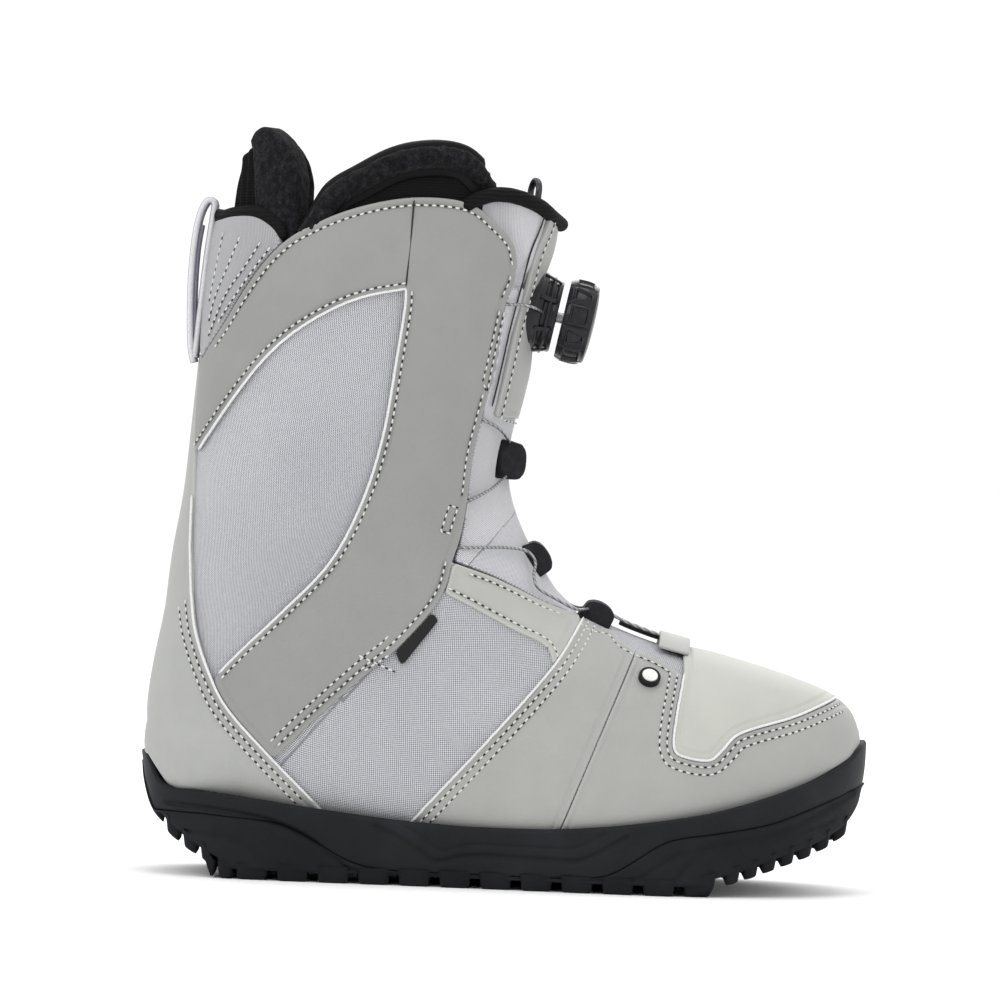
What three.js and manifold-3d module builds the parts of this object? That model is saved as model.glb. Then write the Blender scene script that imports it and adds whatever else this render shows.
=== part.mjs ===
// Snowboard boot, right foot, women's medium size, built as separate pieces.
// Millimetres. +X points to the toe, +Z up, -Y is the outer (lateral) side of the boot.
// The origin lies on the ground at the centre of the boot's footprint.
import * as THREE from 'three';
import { mergeVertices } from 'three/addons/utils/BufferGeometryUtils.js';
import Module from 'manifold-3d';

const wasm = await Module();
wasm.setup();

// ---------------------------------------------------------------- driving dimensions
const GAP = 0.4;                        // clearance between neighbouring pieces
const OVERLAY = 1.5;                    // thickness of the synthetic leather overlays
const SHELL_OUTER = -1.8;               // textile shell, measured inwards from the outside
const SHELL_INNER = -4.4;
const GUSSET_OUTER = -7.7;
const GUSSET_INNER = -8.7;
const LINER_OUTER = -4.8;
const LINER_FRONT_OUTER = -9.1;         // the liner is set back where the tongue and laces run
const LINER_INSET = 15.5;               // cavity wall, measured in each cross-section
const BOARD = 2.2;                      // lasting board thickness
const AROUND = 16;                      // facets around each cross-section
const LACE = 1.2;                       // steel lace diameter
const LACE_BORE = 2.2;
const SLEEVE = 3.0;                     // fabric sleeve behind each flap that the lace runs in
const SIDE = 140;                       // half-length of every cutting prism across the boot
const DIAL_TILT = THREE.MathUtils.degToRad(11.5);
const DIAL_SEAT = [5.1, 0, 228.1];      // where the dial axis meets the outside of the tongue
const TOE_TURN = 7;                     // how far the toe turns towards the inner side
const FOOTPRINT_CENTRE = [-0.5, 2.77];  // of the shape below, before it is moved to the origin

// Cross-sections from the toe tip over the instep to above the collar:
// front x, front z, back x, back z, half width, widest level, front fullness, back fullness.
const STATIONS = [
  [142.0, 60.5, 142.2, 56.0, 3.5, 0.55, 2.2, 2.4],
  [140.8, 66.0, 140.6, 50.5, 12.0, 0.60, 2.2, 2.8],
  [137.0, 73.5, 135.5, 46.0, 23.0, 0.62, 2.2, 3.4],
  [129.0, 79.5, 126.5, 40.5, 33.0, 0.65, 2.2, 4.0],
  [114.0, 84.8, 111.0, 34.5, 42.5, 0.68, 2.2, 4.6],
  [98.0, 89.5, 94.5, 29.5, 48.0, 0.70, 2.2, 5.0],
  [81.0, 94.0, 76.0, 25.0, 51.5, 0.72, 2.1, 5.0],
  [63.0, 98.0, 56.0, 21.5, 53.0, 0.74, 2.1, 5.0],
  [46.0, 103.4, 36.0, 18.8, 52.0, 0.75, 2.1, 5.0],
  [30.0, 110.6, 14.0, 17.2, 49.5, 0.75, 2.1, 5.0],
  [20.0, 117.6, -8.0, 17.0, 47.0, 0.75, 2.1, 5.0],
  [13.5, 126.0, -32.0, 17.8, 45.0, 0.75, 2.1, 4.8],
  [8.0, 135.0, -56.0, 19.5, 43.8, 0.74, 2.1, 4.6],
  [3.8, 144.0, -82.0, 22.5, 43.0, 0.73, 2.1, 4.4],
  [1.0, 152.0, -107.0, 26.5, 42.5, 0.71, 2.1, 4.0],
  [-0.8, 160.0, -127.0, 33.0, 42.3, 0.66, 2.1, 3.4],
  [-1.6, 168.0, -139.5, 45.0, 42.3, 0.60, 2.1, 2.8],
  [-1.2, 176.0, -143.3, 61.0, 42.6, 0.56, 2.1, 2.5],
  [0.2, 184.0, -142.0, 82.0, 43.2, 0.54, 2.1, 2.3],
  [2.2, 194.0, -138.0, 106.0, 44.2, 0.52, 2.1, 2.2],
  [4.3, 205.0, -135.0, 130.0, 45.6, 0.51, 2.1, 2.2],
  [5.0, 217.0, -132.0, 152.0, 47.4, 0.50, 2.1, 2.2],
  [6.0, 229.0, -130.0, 176.0, 49.4, 0.50, 2.1, 2.2],
  [8.6, 241.0, -128.6, 200.0, 51.2, 0.50, 2.1, 2.2],
  [12.2, 253.0, -127.0, 224.0, 52.8, 0.50, 2.1, 2.2],
  [14.0, 265.0, -125.2, 246.0, 54.0, 0.50, 2.1, 2.2],
  [15.5, 280.0, -123.0, 270.0, 55.0, 0.50, 2.1, 2.2],
  [17.5, 302.0, -120.5, 302.0, 56.0, 0.50, 2.1, 2.2],
];

// Side-view outlines, x forwards and z up.
const CUFF_TOP = [
  [-126.7, 204.9], [-118.0, 218.1], [-111.6, 229.5], [-103.6, 241.6], [-95.5, 250.4],
  [-87.3, 256.2], [-73.5, 262.9], [-59.7, 267.4], [-46.2, 270.0], [-33.8, 270.5],
  [-24.5, 269.5], [-18.3, 267.3], [-11.5, 261.9], [-4.4, 254.7], [-2.0, 247.0],
];
const FLAP_EDGE = [
  [-2.0, 247.0], [-2.9, 238.6], [-5.9, 230.0], [-9.3, 205.7], [-14.1, 184.1],
  [-17.2, 169.6], [-18.6, 153.2], [-20.6, 138.5], [-23.7, 127.8],
];
const CUFF_FRONT_BAND = [
  [-26.4, 116.7], [-32.5, 106.5], [-44.6, 92.6], [-52.1, 86.0], [-63.0, 76.0], [-78.0, 61.5],
  [-92.0, 47.0],
];
const WINDOW_FRONT = [
  [-45.7, 234.6], [-45.8, 227.0], [-48.4, 206.7], [-52.8, 176.0], [-60.4, 149.3],
  [-72.0, 125.8], [-89.6, 106.2], [-105.0, 90.6], [-118.5, 76.0],
];
const WINDOW_TOP = [
  [-126.0, 168.5], [-119.0, 179.6], [-111.0, 191.5], [-99.9, 205.9], [-87.9, 217.0],
  [-73.0, 226.3], [-60.8, 231.3], [-45.7, 234.6],
];
const HEEL_PIPING = [
  [-126.6, 112.1], [-124.1, 96.6], [-118.0, 80.4], [-110.1, 66.6], [-93.1, 48.8],
  [-74.0, 30.3], [-66.0, 20.0],
];
const INSTEP_TOP = [
  [-23.7, 127.8], [-8.2, 122.8], [1.1, 118.9], [14.2, 112.9], [27.7, 108.4],
];
const INSTEP_LOW = [
  [-34.0, 118.8], [-17.7, 111.6], [1.1, 102.3], [12.3, 97.4], [16.4, 92.8], [17.1, 86.0],
];
const FRONT_PIPING = [
  [28.8, 107.0], [19.9, 91.3], [8.2, 76.2], [-12.4, 52.2], [-30.7, 31.5], [-42.0, 18.0],
];
const SIDE_SEAM = [[50.1, 95.6], [36.0, 60.7], [19.0, 16.0]];
const VAMP_EDGE = [[27.7, 108.4], [32.1, 104.6], [40.0, 103.0], [44.5, 98.6], [50.1, 95.6]];
const TOE_FLAP_EDGE = [[50.1, 95.6], [59.5, 92.1], [69.4, 86.4]];
const TOE_PIPING = [
  [69.4, 86.4], [66.4, 68.5], [65.9, 58.3], [69.3, 55.0], [79.8, 53.6], [85.0, 57.8],
  [89.9, 63.2], [97.7, 66.5], [113.8, 71.2], [131.4, 78.3],
];
const COLLAR_REAR = [
  [-134.0, 259.0], [-123.5, 259.7], [-115.5, 261.2], [-106.5, 260.9], [-99.0, 256.5],
  [-95.5, 250.9],
];
const TONGUE_TOP = [[-18.3, 268.9], [-10.4, 270.6], [-0.2, 269.6], [8.7, 266.4], [17.0, 260.5]];
const SOLE_TOP = [
  [-150.0, 50.0], [-142.8, 46.5], [-138.3, 38.4], [-132.0, 34.8], [-119.0, 34.3],
  [-103.7, 32.8], [-76.8, 29.6], [-49.0, 26.6], [-30.6, 25.2], [-9.4, 24.4], [22.6, 25.0],
  [54.5, 28.5], [86.3, 34.4], [118.0, 44.8], [135.6, 53.7], [141.5, 59.0], [150.0, 66.0],
];
const SOLE_PARTING = [
  [-150.0, 25.1], [-122.7, 25.0], [-111.0, 24.4], [-91.8, 23.0], [-80.2, 19.3],
  [-68.6, 12.9], [-59.2, 8.4], [-47.5, 6.0], [-24.7, 5.5], [2.1, 5.3], [26.5, 5.5],
  [38.9, 6.6], [46.0, 9.4], [55.0, 15.3], [62.0, 19.8], [69.9, 22.6], [86.5, 25.2],
  [106.1, 29.1], [125.9, 36.5], [150.0, 46.0],
];
const SOLE_BOTTOM = [
  [-146.5, 52.0], [-145.4, 43.8], [-144.4, 36.2], [-140.9, 26.3], [-136.9, 21.0],
  [-129.9, 14.4], [-119.6, 7.9], [-110.3, 3.2], [-101.0, 0.0], [69.0, 0.0], [79.5, 2.2],
  [95.3, 6.9], [109.1, 11.8], [123.0, 17.1], [134.8, 23.6], [141.3, 31.6], [144.1, 41.7],
  [144.6, 49.7], [144.6, 62.0],
];
// Half of the sole's plan outline, heel to toe: x and half width.
const SOLE_PLAN = [
  [-145.5, 0.0], [-143.0, 14.0], [-137.0, 25.5], [-126.0, 35.5], [-110.0, 42.0],
  [-85.0, 45.5], [-50.0, 47.0], [-10.0, 49.5], [25.0, 53.5], [55.0, 56.8], [80.0, 56.5],
  [102.0, 51.5], [121.0, 42.0], [134.5, 28.5], [142.0, 14.0], [144.5, 0.0],
];
const LINER_SIDE_TOP = [
  [-91.5, 255.0], [-85.8, 259.6], [-78.3, 271.9], [-66.5, 279.1], [-50.8, 286.9],
  [-34.9, 289.5], [-23.3, 288.3], [-15.8, 283.7], [-10.0, 277.2], [-2.0, 268.0], [20.0, 262.0],
];
const LINER_HEEL_TOP = [
  [-121.5, 262.0], [-120.1, 276.4], [-118.6, 284.9], [-114.6, 292.0], [-110.5, 296.6],
  [-105.6, 296.5], [-98.2, 291.2], [-93.3, 284.2], [-90.4, 274.7],
];

// ---------------------------------------------------------------- solids and cuts
function solidOf(geometry) {
  const bare = geometry.index ? geometry.toNonIndexed() : geometry.clone();
  bare.deleteAttribute('normal');
  bare.deleteAttribute('uv');
  const merged = mergeVertices(bare, 1e-4);
  const corners = [];
  const index = merged.index.array;
  for (let i = 0; i < index.length; i += 3) {
    const [a, b, c] = [index[i], index[i + 1], index[i + 2]];
    if (a !== b && b !== c && c !== a) corners.push(a, b, c);
  }
  return new wasm.Manifold(new wasm.Mesh({
    numProp: 3,
    vertProperties: merged.attributes.position.array,
    triVerts: new Uint32Array(corners),
  }));
}

function geometryOf(solid) {
  const { vertProperties, triVerts, numProp } = solid.getMesh();
  const positions = new Float32Array((vertProperties.length / numProp) * 3);
  for (let i = 0; i < positions.length / 3; i += 1) {
    for (let k = 0; k < 3; k += 1) positions[3 * i + k] = vertProperties[numProp * i + k];
  }
  const geometry = new THREE.BufferGeometry();
  geometry.setAttribute('position', new THREE.BufferAttribute(positions, 3));
  geometry.setIndex(new THREE.BufferAttribute(new Uint32Array(triVerts), 1));
  return geometry;
}

function smooth(points, steps) {
  return new THREE.SplineCurve(points.map(([x, z]) => new THREE.Vector2(x, z)))
    .getPoints(steps).map((p) => [p.x, p.y]);
}

// Grows a closed side-view outline by a distance, corner by corner.
function grow(outline, distance) {
  const area = outline.reduce((sum, [x, z], i) => {
    const [nx, nz] = outline[(i + 1) % outline.length];
    return sum + x * nz - nx * z;
  }, 0);
  const turn = Math.sign(area);
  return outline.map(([x, z], i) => {
    const [px, pz] = outline[(i + outline.length - 1) % outline.length];
    const [nx, nz] = outline[(i + 1) % outline.length];
    const before = new THREE.Vector2(z - pz, px - x).normalize();
    const after = new THREE.Vector2(nz - z, x - nx).normalize();
    const normal = before.clone().add(after).normalize();
    const reach = distance / Math.max(0.4, normal.dot(after));
    return [x + turn * normal.x * reach, z + turn * normal.y * reach];
  });
}

// A side-view outline extruded across the boot.
function sideCut(outline, from = -SIDE, to = SIDE) {
  const shape = new THREE.Shape(outline.map(([x, z]) => new THREE.Vector2(x, z)));
  const geometry = new THREE.ExtrudeGeometry(shape, { depth: to - from, bevelEnabled: false });
  return solidOf(geometry.rotateX(Math.PI / 2).translate(0, to, 0));
}

// A rear-view outline (y, z) extruded along the boot.
function rearCut(outline, from, to) {
  const shape = new THREE.Shape(outline.map(([y, z]) => new THREE.Vector2(y, z)));
  const geometry = new THREE.ExtrudeGeometry(shape, { depth: to - from, bevelEnabled: false });
  return solidOf(geometry.rotateX(Math.PI / 2).rotateZ(Math.PI / 2).translate(from, 0, 0));
}

const EVERYWHERE = [[-200, -20], [200, -20], [200, 320], [-200, 320]];
const LATERAL = [-SIDE, -GAP / 2];
const MEDIAL = [GAP / 2, SIDE];

function tube(points, diameter, steps, sides = 8) {
  const path = new THREE.CatmullRomCurve3(points, false, 'centripetal');
  const shape = new THREE.Shape();
  for (let i = 0; i < sides; i += 1) {
    const angle = (2 * Math.PI * i) / sides;
    const [x, y] = [(diameter / 2) * Math.cos(angle), (diameter / 2) * Math.sin(angle)];
    if (i === 0) shape.moveTo(x, y);
    else shape.lineTo(x, y);
  }
  return solidOf(new THREE.ExtrudeGeometry(shape, { steps, extrudePath: path, curveSegments: 1 }));
}

function mirrored(solid) {
  const geometry = geometryOf(solid).scale(1, -1, 1);
  const index = geometry.index.array;
  for (let i = 0; i < index.length; i += 3) [index[i], index[i + 1]] = [index[i + 1], index[i]];
  return solidOf(geometry);
}

// ---------------------------------------------------------------- the boot's outer surface
function inward(x) {
  const t = THREE.MathUtils.clamp((x - 10) / 130, 0, 1);
  return TOE_TURN * t * t * (3 - 2 * t);
}

function sectionPoint(station, phi, inset = 0) {
  const [fx, fz, bx, bz, half, widest, frontFull, backFull] = station;
  const length = Math.hypot(bx - fx, bz - fz);
  const [ux, uz] = [(bx - fx) / length, (bz - fz) / length];
  const c = Math.cos(phi);
  const s = Math.sin(phi);
  const power = 2 / (c >= 0 ? frontFull : backFull);
  const reach = Math.abs(c) ** power;
  const level = c >= 0 ? widest * (1 - reach) : widest + (1 - widest) * reach;
  const along = inset + level * (length - 2 * inset);
  const x = fx + ux * along;
  const y = -Math.sign(s) * (half - inset) * Math.abs(s) ** power;
  return new THREE.Vector3(x, y + inward(x), fz + uz * along);
}

function rings(inset = 0, first = 0) {
  return STATIONS.slice(first).map((station) => {
    const ring = [];
    for (let j = 0; j < AROUND; j += 1) {
      ring.push(sectionPoint(station, (2 * Math.PI * j) / AROUND, inset));
    }
    return ring;
  });
}

function centreOf(ring) {
  return ring.reduce((sum, p) => sum.add(p), new THREE.Vector3()).divideScalar(ring.length);
}

const OUTER = rings();
const NORMALS = OUTER.map((ring, i) => ring.map((point, j) => {
  const ahead = OUTER[Math.min(i + 1, OUTER.length - 1)][j];
  const behind = OUTER[Math.max(i - 1, 0)][j];
  const left = ring[(j + 1) % AROUND];
  const right = ring[(j + AROUND - 1) % AROUND];
  return ahead.clone().sub(behind).cross(left.clone().sub(right)).normalize();
}));

function closedLoft(loft, toeCap) {
  const positions = [];
  const add = (...points) => points.forEach((p) => positions.push(p.x, p.y, p.z));
  for (let i = 0; i < loft.length - 1; i += 1) {
    for (let j = 0; j < AROUND; j += 1) {
      const k = (j + 1) % AROUND;
      add(loft[i][j], loft[i + 1][j], loft[i][k]);
      add(loft[i + 1][j], loft[i + 1][k], loft[i][k]);
    }
  }
  const top = loft[loft.length - 1];
  const crown = centreOf(top);
  for (let j = 0; j < AROUND; j += 1) {
    const k = (j + 1) % AROUND;
    add(toeCap, loft[0][j], loft[0][k]);
    add(crown, top[k], top[j]);
  }
  const geometry = new THREE.BufferGeometry();
  geometry.setAttribute('position', new THREE.Float32BufferAttribute(positions, 3));
  return solidOf(geometry);
}

// The whole boot form, grown or shrunk by a distance along its own surface normals.
const forms = new Map();
function form(offset) {
  if (!forms.has(offset)) {
    const loft = OUTER.map((ring, i) => ring.map((p, j) =>
      p.clone().addScaledVector(NORMALS[i][j], offset)));
    const toe = centreOf(loft[0]);
    toe.x += 0.4;
    forms.set(offset, closedLoft(loft, toe));
  }
  return forms.get(offset);
}

function layer(outer, inner) {
  return form(outer).subtract(form(inner));
}

// The foot and leg cavity, inset inside each cross-section.
function cavity(inset, first) {
  const loft = rings(inset, first);
  return closedLoft(loft, centreOf(loft[0]));
}

// The point of the lateral outer surface seen at side-view (x, z), moved along the normal.
function onSurface(x, z, offset = 0) {
  let best = null;
  for (let i = 0; i < STATIONS.length - 1; i += 1) {
    for (let t = 0; t < 1; t += 0.05) {
      const station = STATIONS[i].map((v, k) => v + t * (STATIONS[i + 1][k] - v));
      const [fx, fz, bx, bz] = station;
      const across = ((x - fx) * (bz - fz) - (z - fz) * (bx - fx)) / Math.hypot(bx - fx, bz - fz);
      const along = ((x - fx) * (bx - fx) + (z - fz) * (bz - fz)) / ((bx - fx) ** 2 + (bz - fz) ** 2);
      const miss = Math.abs(across) + 200 * Math.max(0, -along, along - 1);
      if (!best || miss < best.miss) best = { miss, station, along, i, t };
    }
  }
  const { station, i, t } = best;
  const along = THREE.MathUtils.clamp(best.along, 0, 1);
  const [, , , , , widest, frontFull, backFull] = station;
  const front = along < widest;
  const reach = front ? 1 - along / widest : (along - widest) / (1 - widest);
  const c = reach ** ((front ? frontFull : backFull) / 2);
  const phi = Math.acos(front ? c : -c);
  const point = sectionPoint(station, phi);
  const j = (phi / (2 * Math.PI)) * AROUND;
  const low = Math.floor(j);
  const normal = new THREE.Vector3();
  for (const [row, wr] of [[i, 1 - t], [i + 1, t]]) {
    normal.addScaledVector(NORMALS[row][low % AROUND], wr * (1 - (j - low)));
    normal.addScaledVector(NORMALS[row][(low + 1) % AROUND], wr * (j - low));
  }
  return point.addScaledVector(normal.normalize(), offset);
}

// ---------------------------------------------------------------- colours and the group
const grey = ['#a7aaa5', 0.55, 0];
const textileGrey = ['#c9c8d2', 0.9, 0];
const blackRubber = ['#25262a', 0.7, 0];
const blackPlastic = ['#1b1c20', 0.35, 0];
const blackTextile = ['#18181c', 0.95, 0];
const webbing = ['#d6d4e2', 0.9, 0];
const steel = ['#8f9296', 0.35, 0.9];
const boardBrown = ['#8a7a62', 0.9, 0];

// The largest piece that a cut leaves; its offcuts are thrown away.
function largest(solid) {
  const pieces = solid.decompose().sort((a, b) => b.volume() - a.volume());
  return pieces[0];
}

const boot = new THREE.Group();
function place(name, solid, [color, roughness, metalness]) {
  const material = new THREE.MeshStandardMaterial({ color, roughness, metalness });
  const mesh = new THREE.Mesh(geometryOf(largest(solid)), material);
  mesh.name = name;
  boot.add(mesh);
}

// ---------------------------------------------------------------- outlines as closed regions
const cuffOutline = [
  [-150, 204.9], ...smooth(CUFF_TOP, 18), ...smooth(FLAP_EDGE, 10).slice(1),
  ...smooth(CUFF_FRONT_BAND, 9), [-118.5, 20], [-150, 40], [-150, 76],
  ...smooth(WINDOW_FRONT, 12).reverse(), ...smooth(WINDOW_TOP, 10).reverse().slice(1),
  [-150, 168.5],
];
const cuffWhole = [
  [-150, 204.9], ...smooth(CUFF_TOP, 18), ...smooth(FLAP_EDGE, 10).slice(1),
  ...smooth(CUFF_FRONT_BAND, 9), [-118.5, 20], [-150, 40],
];
const throat = [
  [60, 108.4], [60, 320], [6, 320], [6, 247], ...smooth(FLAP_EDGE, 10),
  ...smooth(INSTEP_TOP, 5).slice(1),
];
const heelRegion = [[-160, 112.1], ...smooth(HEEL_PIPING, 10), [-70, 0], [-160, 0]];
// Half of the backstay seen from behind: half width and height, widening into the heel cup.
const BACKSTAY = [
  [9.0, 204.9], [10.5, 187.0], [15.0, 170.0], [19.0, 153.0], [22.5, 134.0], [27.5, 111.0],
];
const rearStrip = [...BACKSTAY, ...BACKSTAY.map(([y, z]) => [-y, z]).reverse()];
const instepRegion = [
  ...smooth(INSTEP_TOP, 5), [27.9, 86], ...smooth(INSTEP_LOW, 7).reverse(),
];
const forefootRegion = [
  ...smooth(FRONT_PIPING, 8), [19.0, 4], ...smooth(SIDE_SEAM, 4).reverse(),
  ...smooth(VAMP_EDGE, 8).reverse().slice(1),
];
const toeRegion = [
  ...smooth(SIDE_SEAM, 4), [160, 0], [160, 120], [131.4, 110], [69.4, 110], [69.4, 86.4],
  ...smooth(TOE_FLAP_EDGE, 6).reverse().slice(1, -1),
];
const vampRegion = [...smooth(TOE_PIPING, 18), [160, 85], [160, 130], [69.4, 130]];
const collarPatchRegion = [
  [-160, 204.9], ...smooth(CUFF_TOP, 18).slice(0, 6), [-95.5, 250.4],
  ...smooth(COLLAR_REAR, 10).reverse(), [-160, 259],
];
const soleTopCurve = smooth(SOLE_TOP, 20);
const collarLine = [
  [-160, 258.7], ...smooth(COLLAR_REAR, 10).map(([x, z]) => [x, z - 1]),
  ...smooth(CUFF_TOP, 18).filter(([x]) => x > -94).map(([x, z]) => [x, z - 1]),
];
const aboveCollar = [...collarLine, [6, 247], [6, 320], [-160, 320]];

// Everything sewn to the upper stands on the lasting board, so it stops just above it.
const boardTop = STATIONS.slice(1, 17).map(([, , x, z]) => [x, z + BOARD]);
const belowUpper = [
  [160, 58], ...boardTop.map(([x, z]) => [x, z + GAP]), [-160, 50], [-160, -10], [160, -10],
];

// ---------------------------------------------------------------- sole
function solePlan() {
  const half = smooth(SOLE_PLAN, 30);
  const outer = half.map(([x, w]) => [x, -w + inward(x)]);
  const inner = half.slice(1, -1).reverse().map(([x, w]) => [x, w + inward(x)]);
  const shape = new THREE.Shape([...outer, ...inner].map(([x, y]) => new THREE.Vector2(x, y)));
  return solidOf(new THREE.ExtrudeGeometry(shape, { depth: 90, bevelEnabled: false })
    .translate(0, 0, -10));
}

const OUTSOLE_SPLIT = -2;
const LUG_DEPTH = 4;
const LUG_PITCH = 16;
const LUG_GROOVE = 5;
const [FIRST_GROOVE, LAST_GROOVE] = [-122, 130];
const CHANNEL_REACH = 130;
const CHANNEL_SIDE = 17;                // lengthwise channels, this far each side of the middle
const CHANNEL_HALF = 2.5;

function bottomAt(x) {
  for (let i = 1; i < SOLE_BOTTOM.length; i += 1) {
    const [ax, az] = SOLE_BOTTOM[i - 1];
    const [bx, bz] = SOLE_BOTTOM[i];
    if (x <= bx) return az + ((bz - az) * (x - ax)) / (bx - ax);
  }
  return SOLE_BOTTOM[SOLE_BOTTOM.length - 1][1];
}

// Cross grooves and two lengthwise channels leave separate tread lugs.
function treadGrooves() {
  let cut = null;
  const join = (solid) => { cut = cut ? cut.add(solid) : solid; };
  for (let x = FIRST_GROOVE; x <= LAST_GROOVE; x += LUG_PITCH) {
    const z = bottomAt(x);
    const slope = Math.atan2(bottomAt(x + 2) - bottomAt(x - 2), 4);
    const box = new THREE.BoxGeometry(LUG_GROOVE, 2 * SIDE, 2 * LUG_DEPTH);
    join(solidOf(box.rotateY(-slope).translate(x, 0, z)));
  }
  const floor = smooth(SOLE_BOTTOM, 30).filter(([x]) => Math.abs(x) < CHANNEL_REACH);
  const channel = [...floor.map(([x, z]) => [x, z - 12]).reverse(),
    ...floor.map(([x, z]) => [x, z + LUG_DEPTH - 0.5])];
  for (const y of [-CHANNEL_SIDE, CHANNEL_SIDE]) {
    join(sideCut(channel, y - CHANNEL_HALF, y + CHANNEL_HALF));
  }
  return cut;
}

const plan = solePlan();
const partingCurve = smooth(SOLE_PARTING, 20);
const bottomCurve = smooth(SOLE_BOTTOM, 30).map(([x, z]) => [x, Math.max(z, 0)]);
const [SOLE_REAR, SOLE_FRONT] = [-146.5, 144.6];

function buildSole() {
  const midsoleSide = [...soleTopCurve, ...partingCurve.map(([x, z]) => [x, z + GAP / 2]).reverse()];
  const midsole = plan.intersect(sideCut(midsoleSide))
    .intersect(sideCut([...bottomCurve, [SOLE_FRONT, 80], [SOLE_REAR, 80]]))
    .subtract(form(GAP));
  place('midsole', midsole, blackRubber);
  const outsoleSide = [...bottomCurve, [150, 80], [-150, 80]];
  const underParting = [...partingCurve.map(([x, z]) => [x, z - GAP / 2]), [150, -20], [-150, -20]];
  const outsole = plan.intersect(sideCut(outsoleSide)).intersect(sideCut(underParting))
    .subtract(treadGrooves());
  const s = OUTSOLE_SPLIT;
  place('outsole_heel', outsole.intersect(sideCut([[-160, -20], [s, -20], [s, 90], [-160, 90]])),
    blackRubber);
  place('outsole_forefoot', outsole.intersect(
    sideCut([[s + GAP, -20], [160, -20], [160, 90], [s + GAP, 90]])), blackRubber);
  const boardSide = [
    ...boardTop, [-150, 46], [-150, -10], [160, -10], [160, 56],
  ];
  place('lasting_board', form(0).intersect(sideCut(boardSide)), boardBrown);
}

// ---------------------------------------------------------------- lace route
// One steel lace: out of the dial, through the sleeve behind each flap, round the guides on
// the tongue, under the instep flap, and round the toe loop. Lateral half; the other mirrors it.
const LACE_ROUTE = [
  [-1.0, 230.6, 1.6], [-4.2, 230.2, 0.0], [-6.2, 229.4, -3.6], [-8.6, 226.5, -6.1],
  [-11.5, 214.0, -6.1], [-14.5, 201.0, -6.1], [-17.6, 189.0, -6.1], [-16.0, 185.8, -4.0],
  [-12.4, 183.8, -0.6], [-8.0, 181.0, 1.3], [-4.2, 176.0, 1.6], [-2.6, 171.0, 2.4],
  [-3.2, 165.5, 2.2], [-6.0, 161.0, 1.5], [-11.0, 156.5, 1.2], [-16.6, 152.6, -0.8],
  [-20.4, 150.6, -4.2], [-22.6, 147.0, -6.1], [-23.8, 140.0, -6.1], [-23.2, 135.4, -5.0],
  [-19.4, 133.6, -0.8], [-12.0, 133.4, 1.3], [-3.0, 133.4, 1.5], [4.0, 131.6, 2.4],
  [7.4, 127.4, 2.4], [7.6, 122.2, 1.8], [10.0, 117.6, 1.3], [17.0, 113.4, 1.3],
  [26.0, 109.2, 1.3],
].map(([x, z, offset]) => onSurface(x, z, offset));
const LACE_START = [
  new THREE.Vector3(8.6, -11.6, 227.3), new THREE.Vector3(8.0, -18.0, 228.0),
  new THREE.Vector3(4.6, -24.6, 229.4),
];
const LACE_TOE = [
  new THREE.Vector3(35.0, -7.4, 110.6), new THREE.Vector3(46.0, -5.0, 105.6),
  new THREE.Vector3(58.0, -4.6, 101.4), new THREE.Vector3(64.6, -3.6, 99.6),
  new THREE.Vector3(67.0, 0.1, 98.9),
];
const lacePoints = [...LACE_START, ...LACE_ROUTE, ...LACE_TOE];
const LACE_STEPS = 42;
const BORE_STEPS = LACE_STEPS;
const BORE_SIDES = 6;
const GUIDE_BORE = LACE_BORE + 0.4;     // the lace runs more freely in the moulded guides

function laceHalves(diameter, steps, sides) {
  const half = tube(lacePoints, diameter, steps, sides);
  return half.add(mirrored(half));
}

const laceBore = laceHalves(LACE_BORE, BORE_STEPS, BORE_SIDES);

// Fabric sleeves sewn behind each flap, from one point of the lace route to another.
const SLEEVE_RUNS = { upper: [3, 6], lower: [17, 18] };

// ---------------------------------------------------------------- upper
const shellLayer = layer(SHELL_OUTER, SHELL_INNER)
  .subtract(sideCut(belowUpper)).subtract(sideCut(aboveCollar));
const overlayLayer = layer(0, -OVERLAY).subtract(sideCut(belowUpper));

const TOE_BOX_BACK = [[28.4, 320], [28.4, 108], [12, -20], [200, -20], [200, 320]];

function buildShell() {
  const open = shellLayer.subtract(sideCut(throat)).subtract(laceBore);
  place('toe_box', open.intersect(sideCut(TOE_BOX_BACK)), textileGrey);
  const rear = open.subtract(sideCut(grow(TOE_BOX_BACK, GAP)));
  place('quarter_lateral', rear.intersect(sideCut(EVERYWHERE, ...LATERAL)), textileGrey);
  place('quarter_medial', rear.intersect(sideCut(EVERYWHERE, ...MEDIAL)), textileGrey);
}

function buildSleeves() {
  for (const [name, [from, to]] of Object.entries(SLEEVE_RUNS)) {
    const whole = tube(LACE_ROUTE.slice(from, to + 1), SLEEVE, 6)
      .subtract(layer(0, SHELL_INNER - 0.15));
    const lateral = whole.subtract(laceBore).subtract(layer(GUSSET_OUTER + 0.2, GUSSET_INNER - 1));
    place(`lace_sleeve_${name}_lateral`, lateral, webbing);
    place(`lace_sleeve_${name}_medial`, mirrored(lateral), webbing);
  }
}

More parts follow.
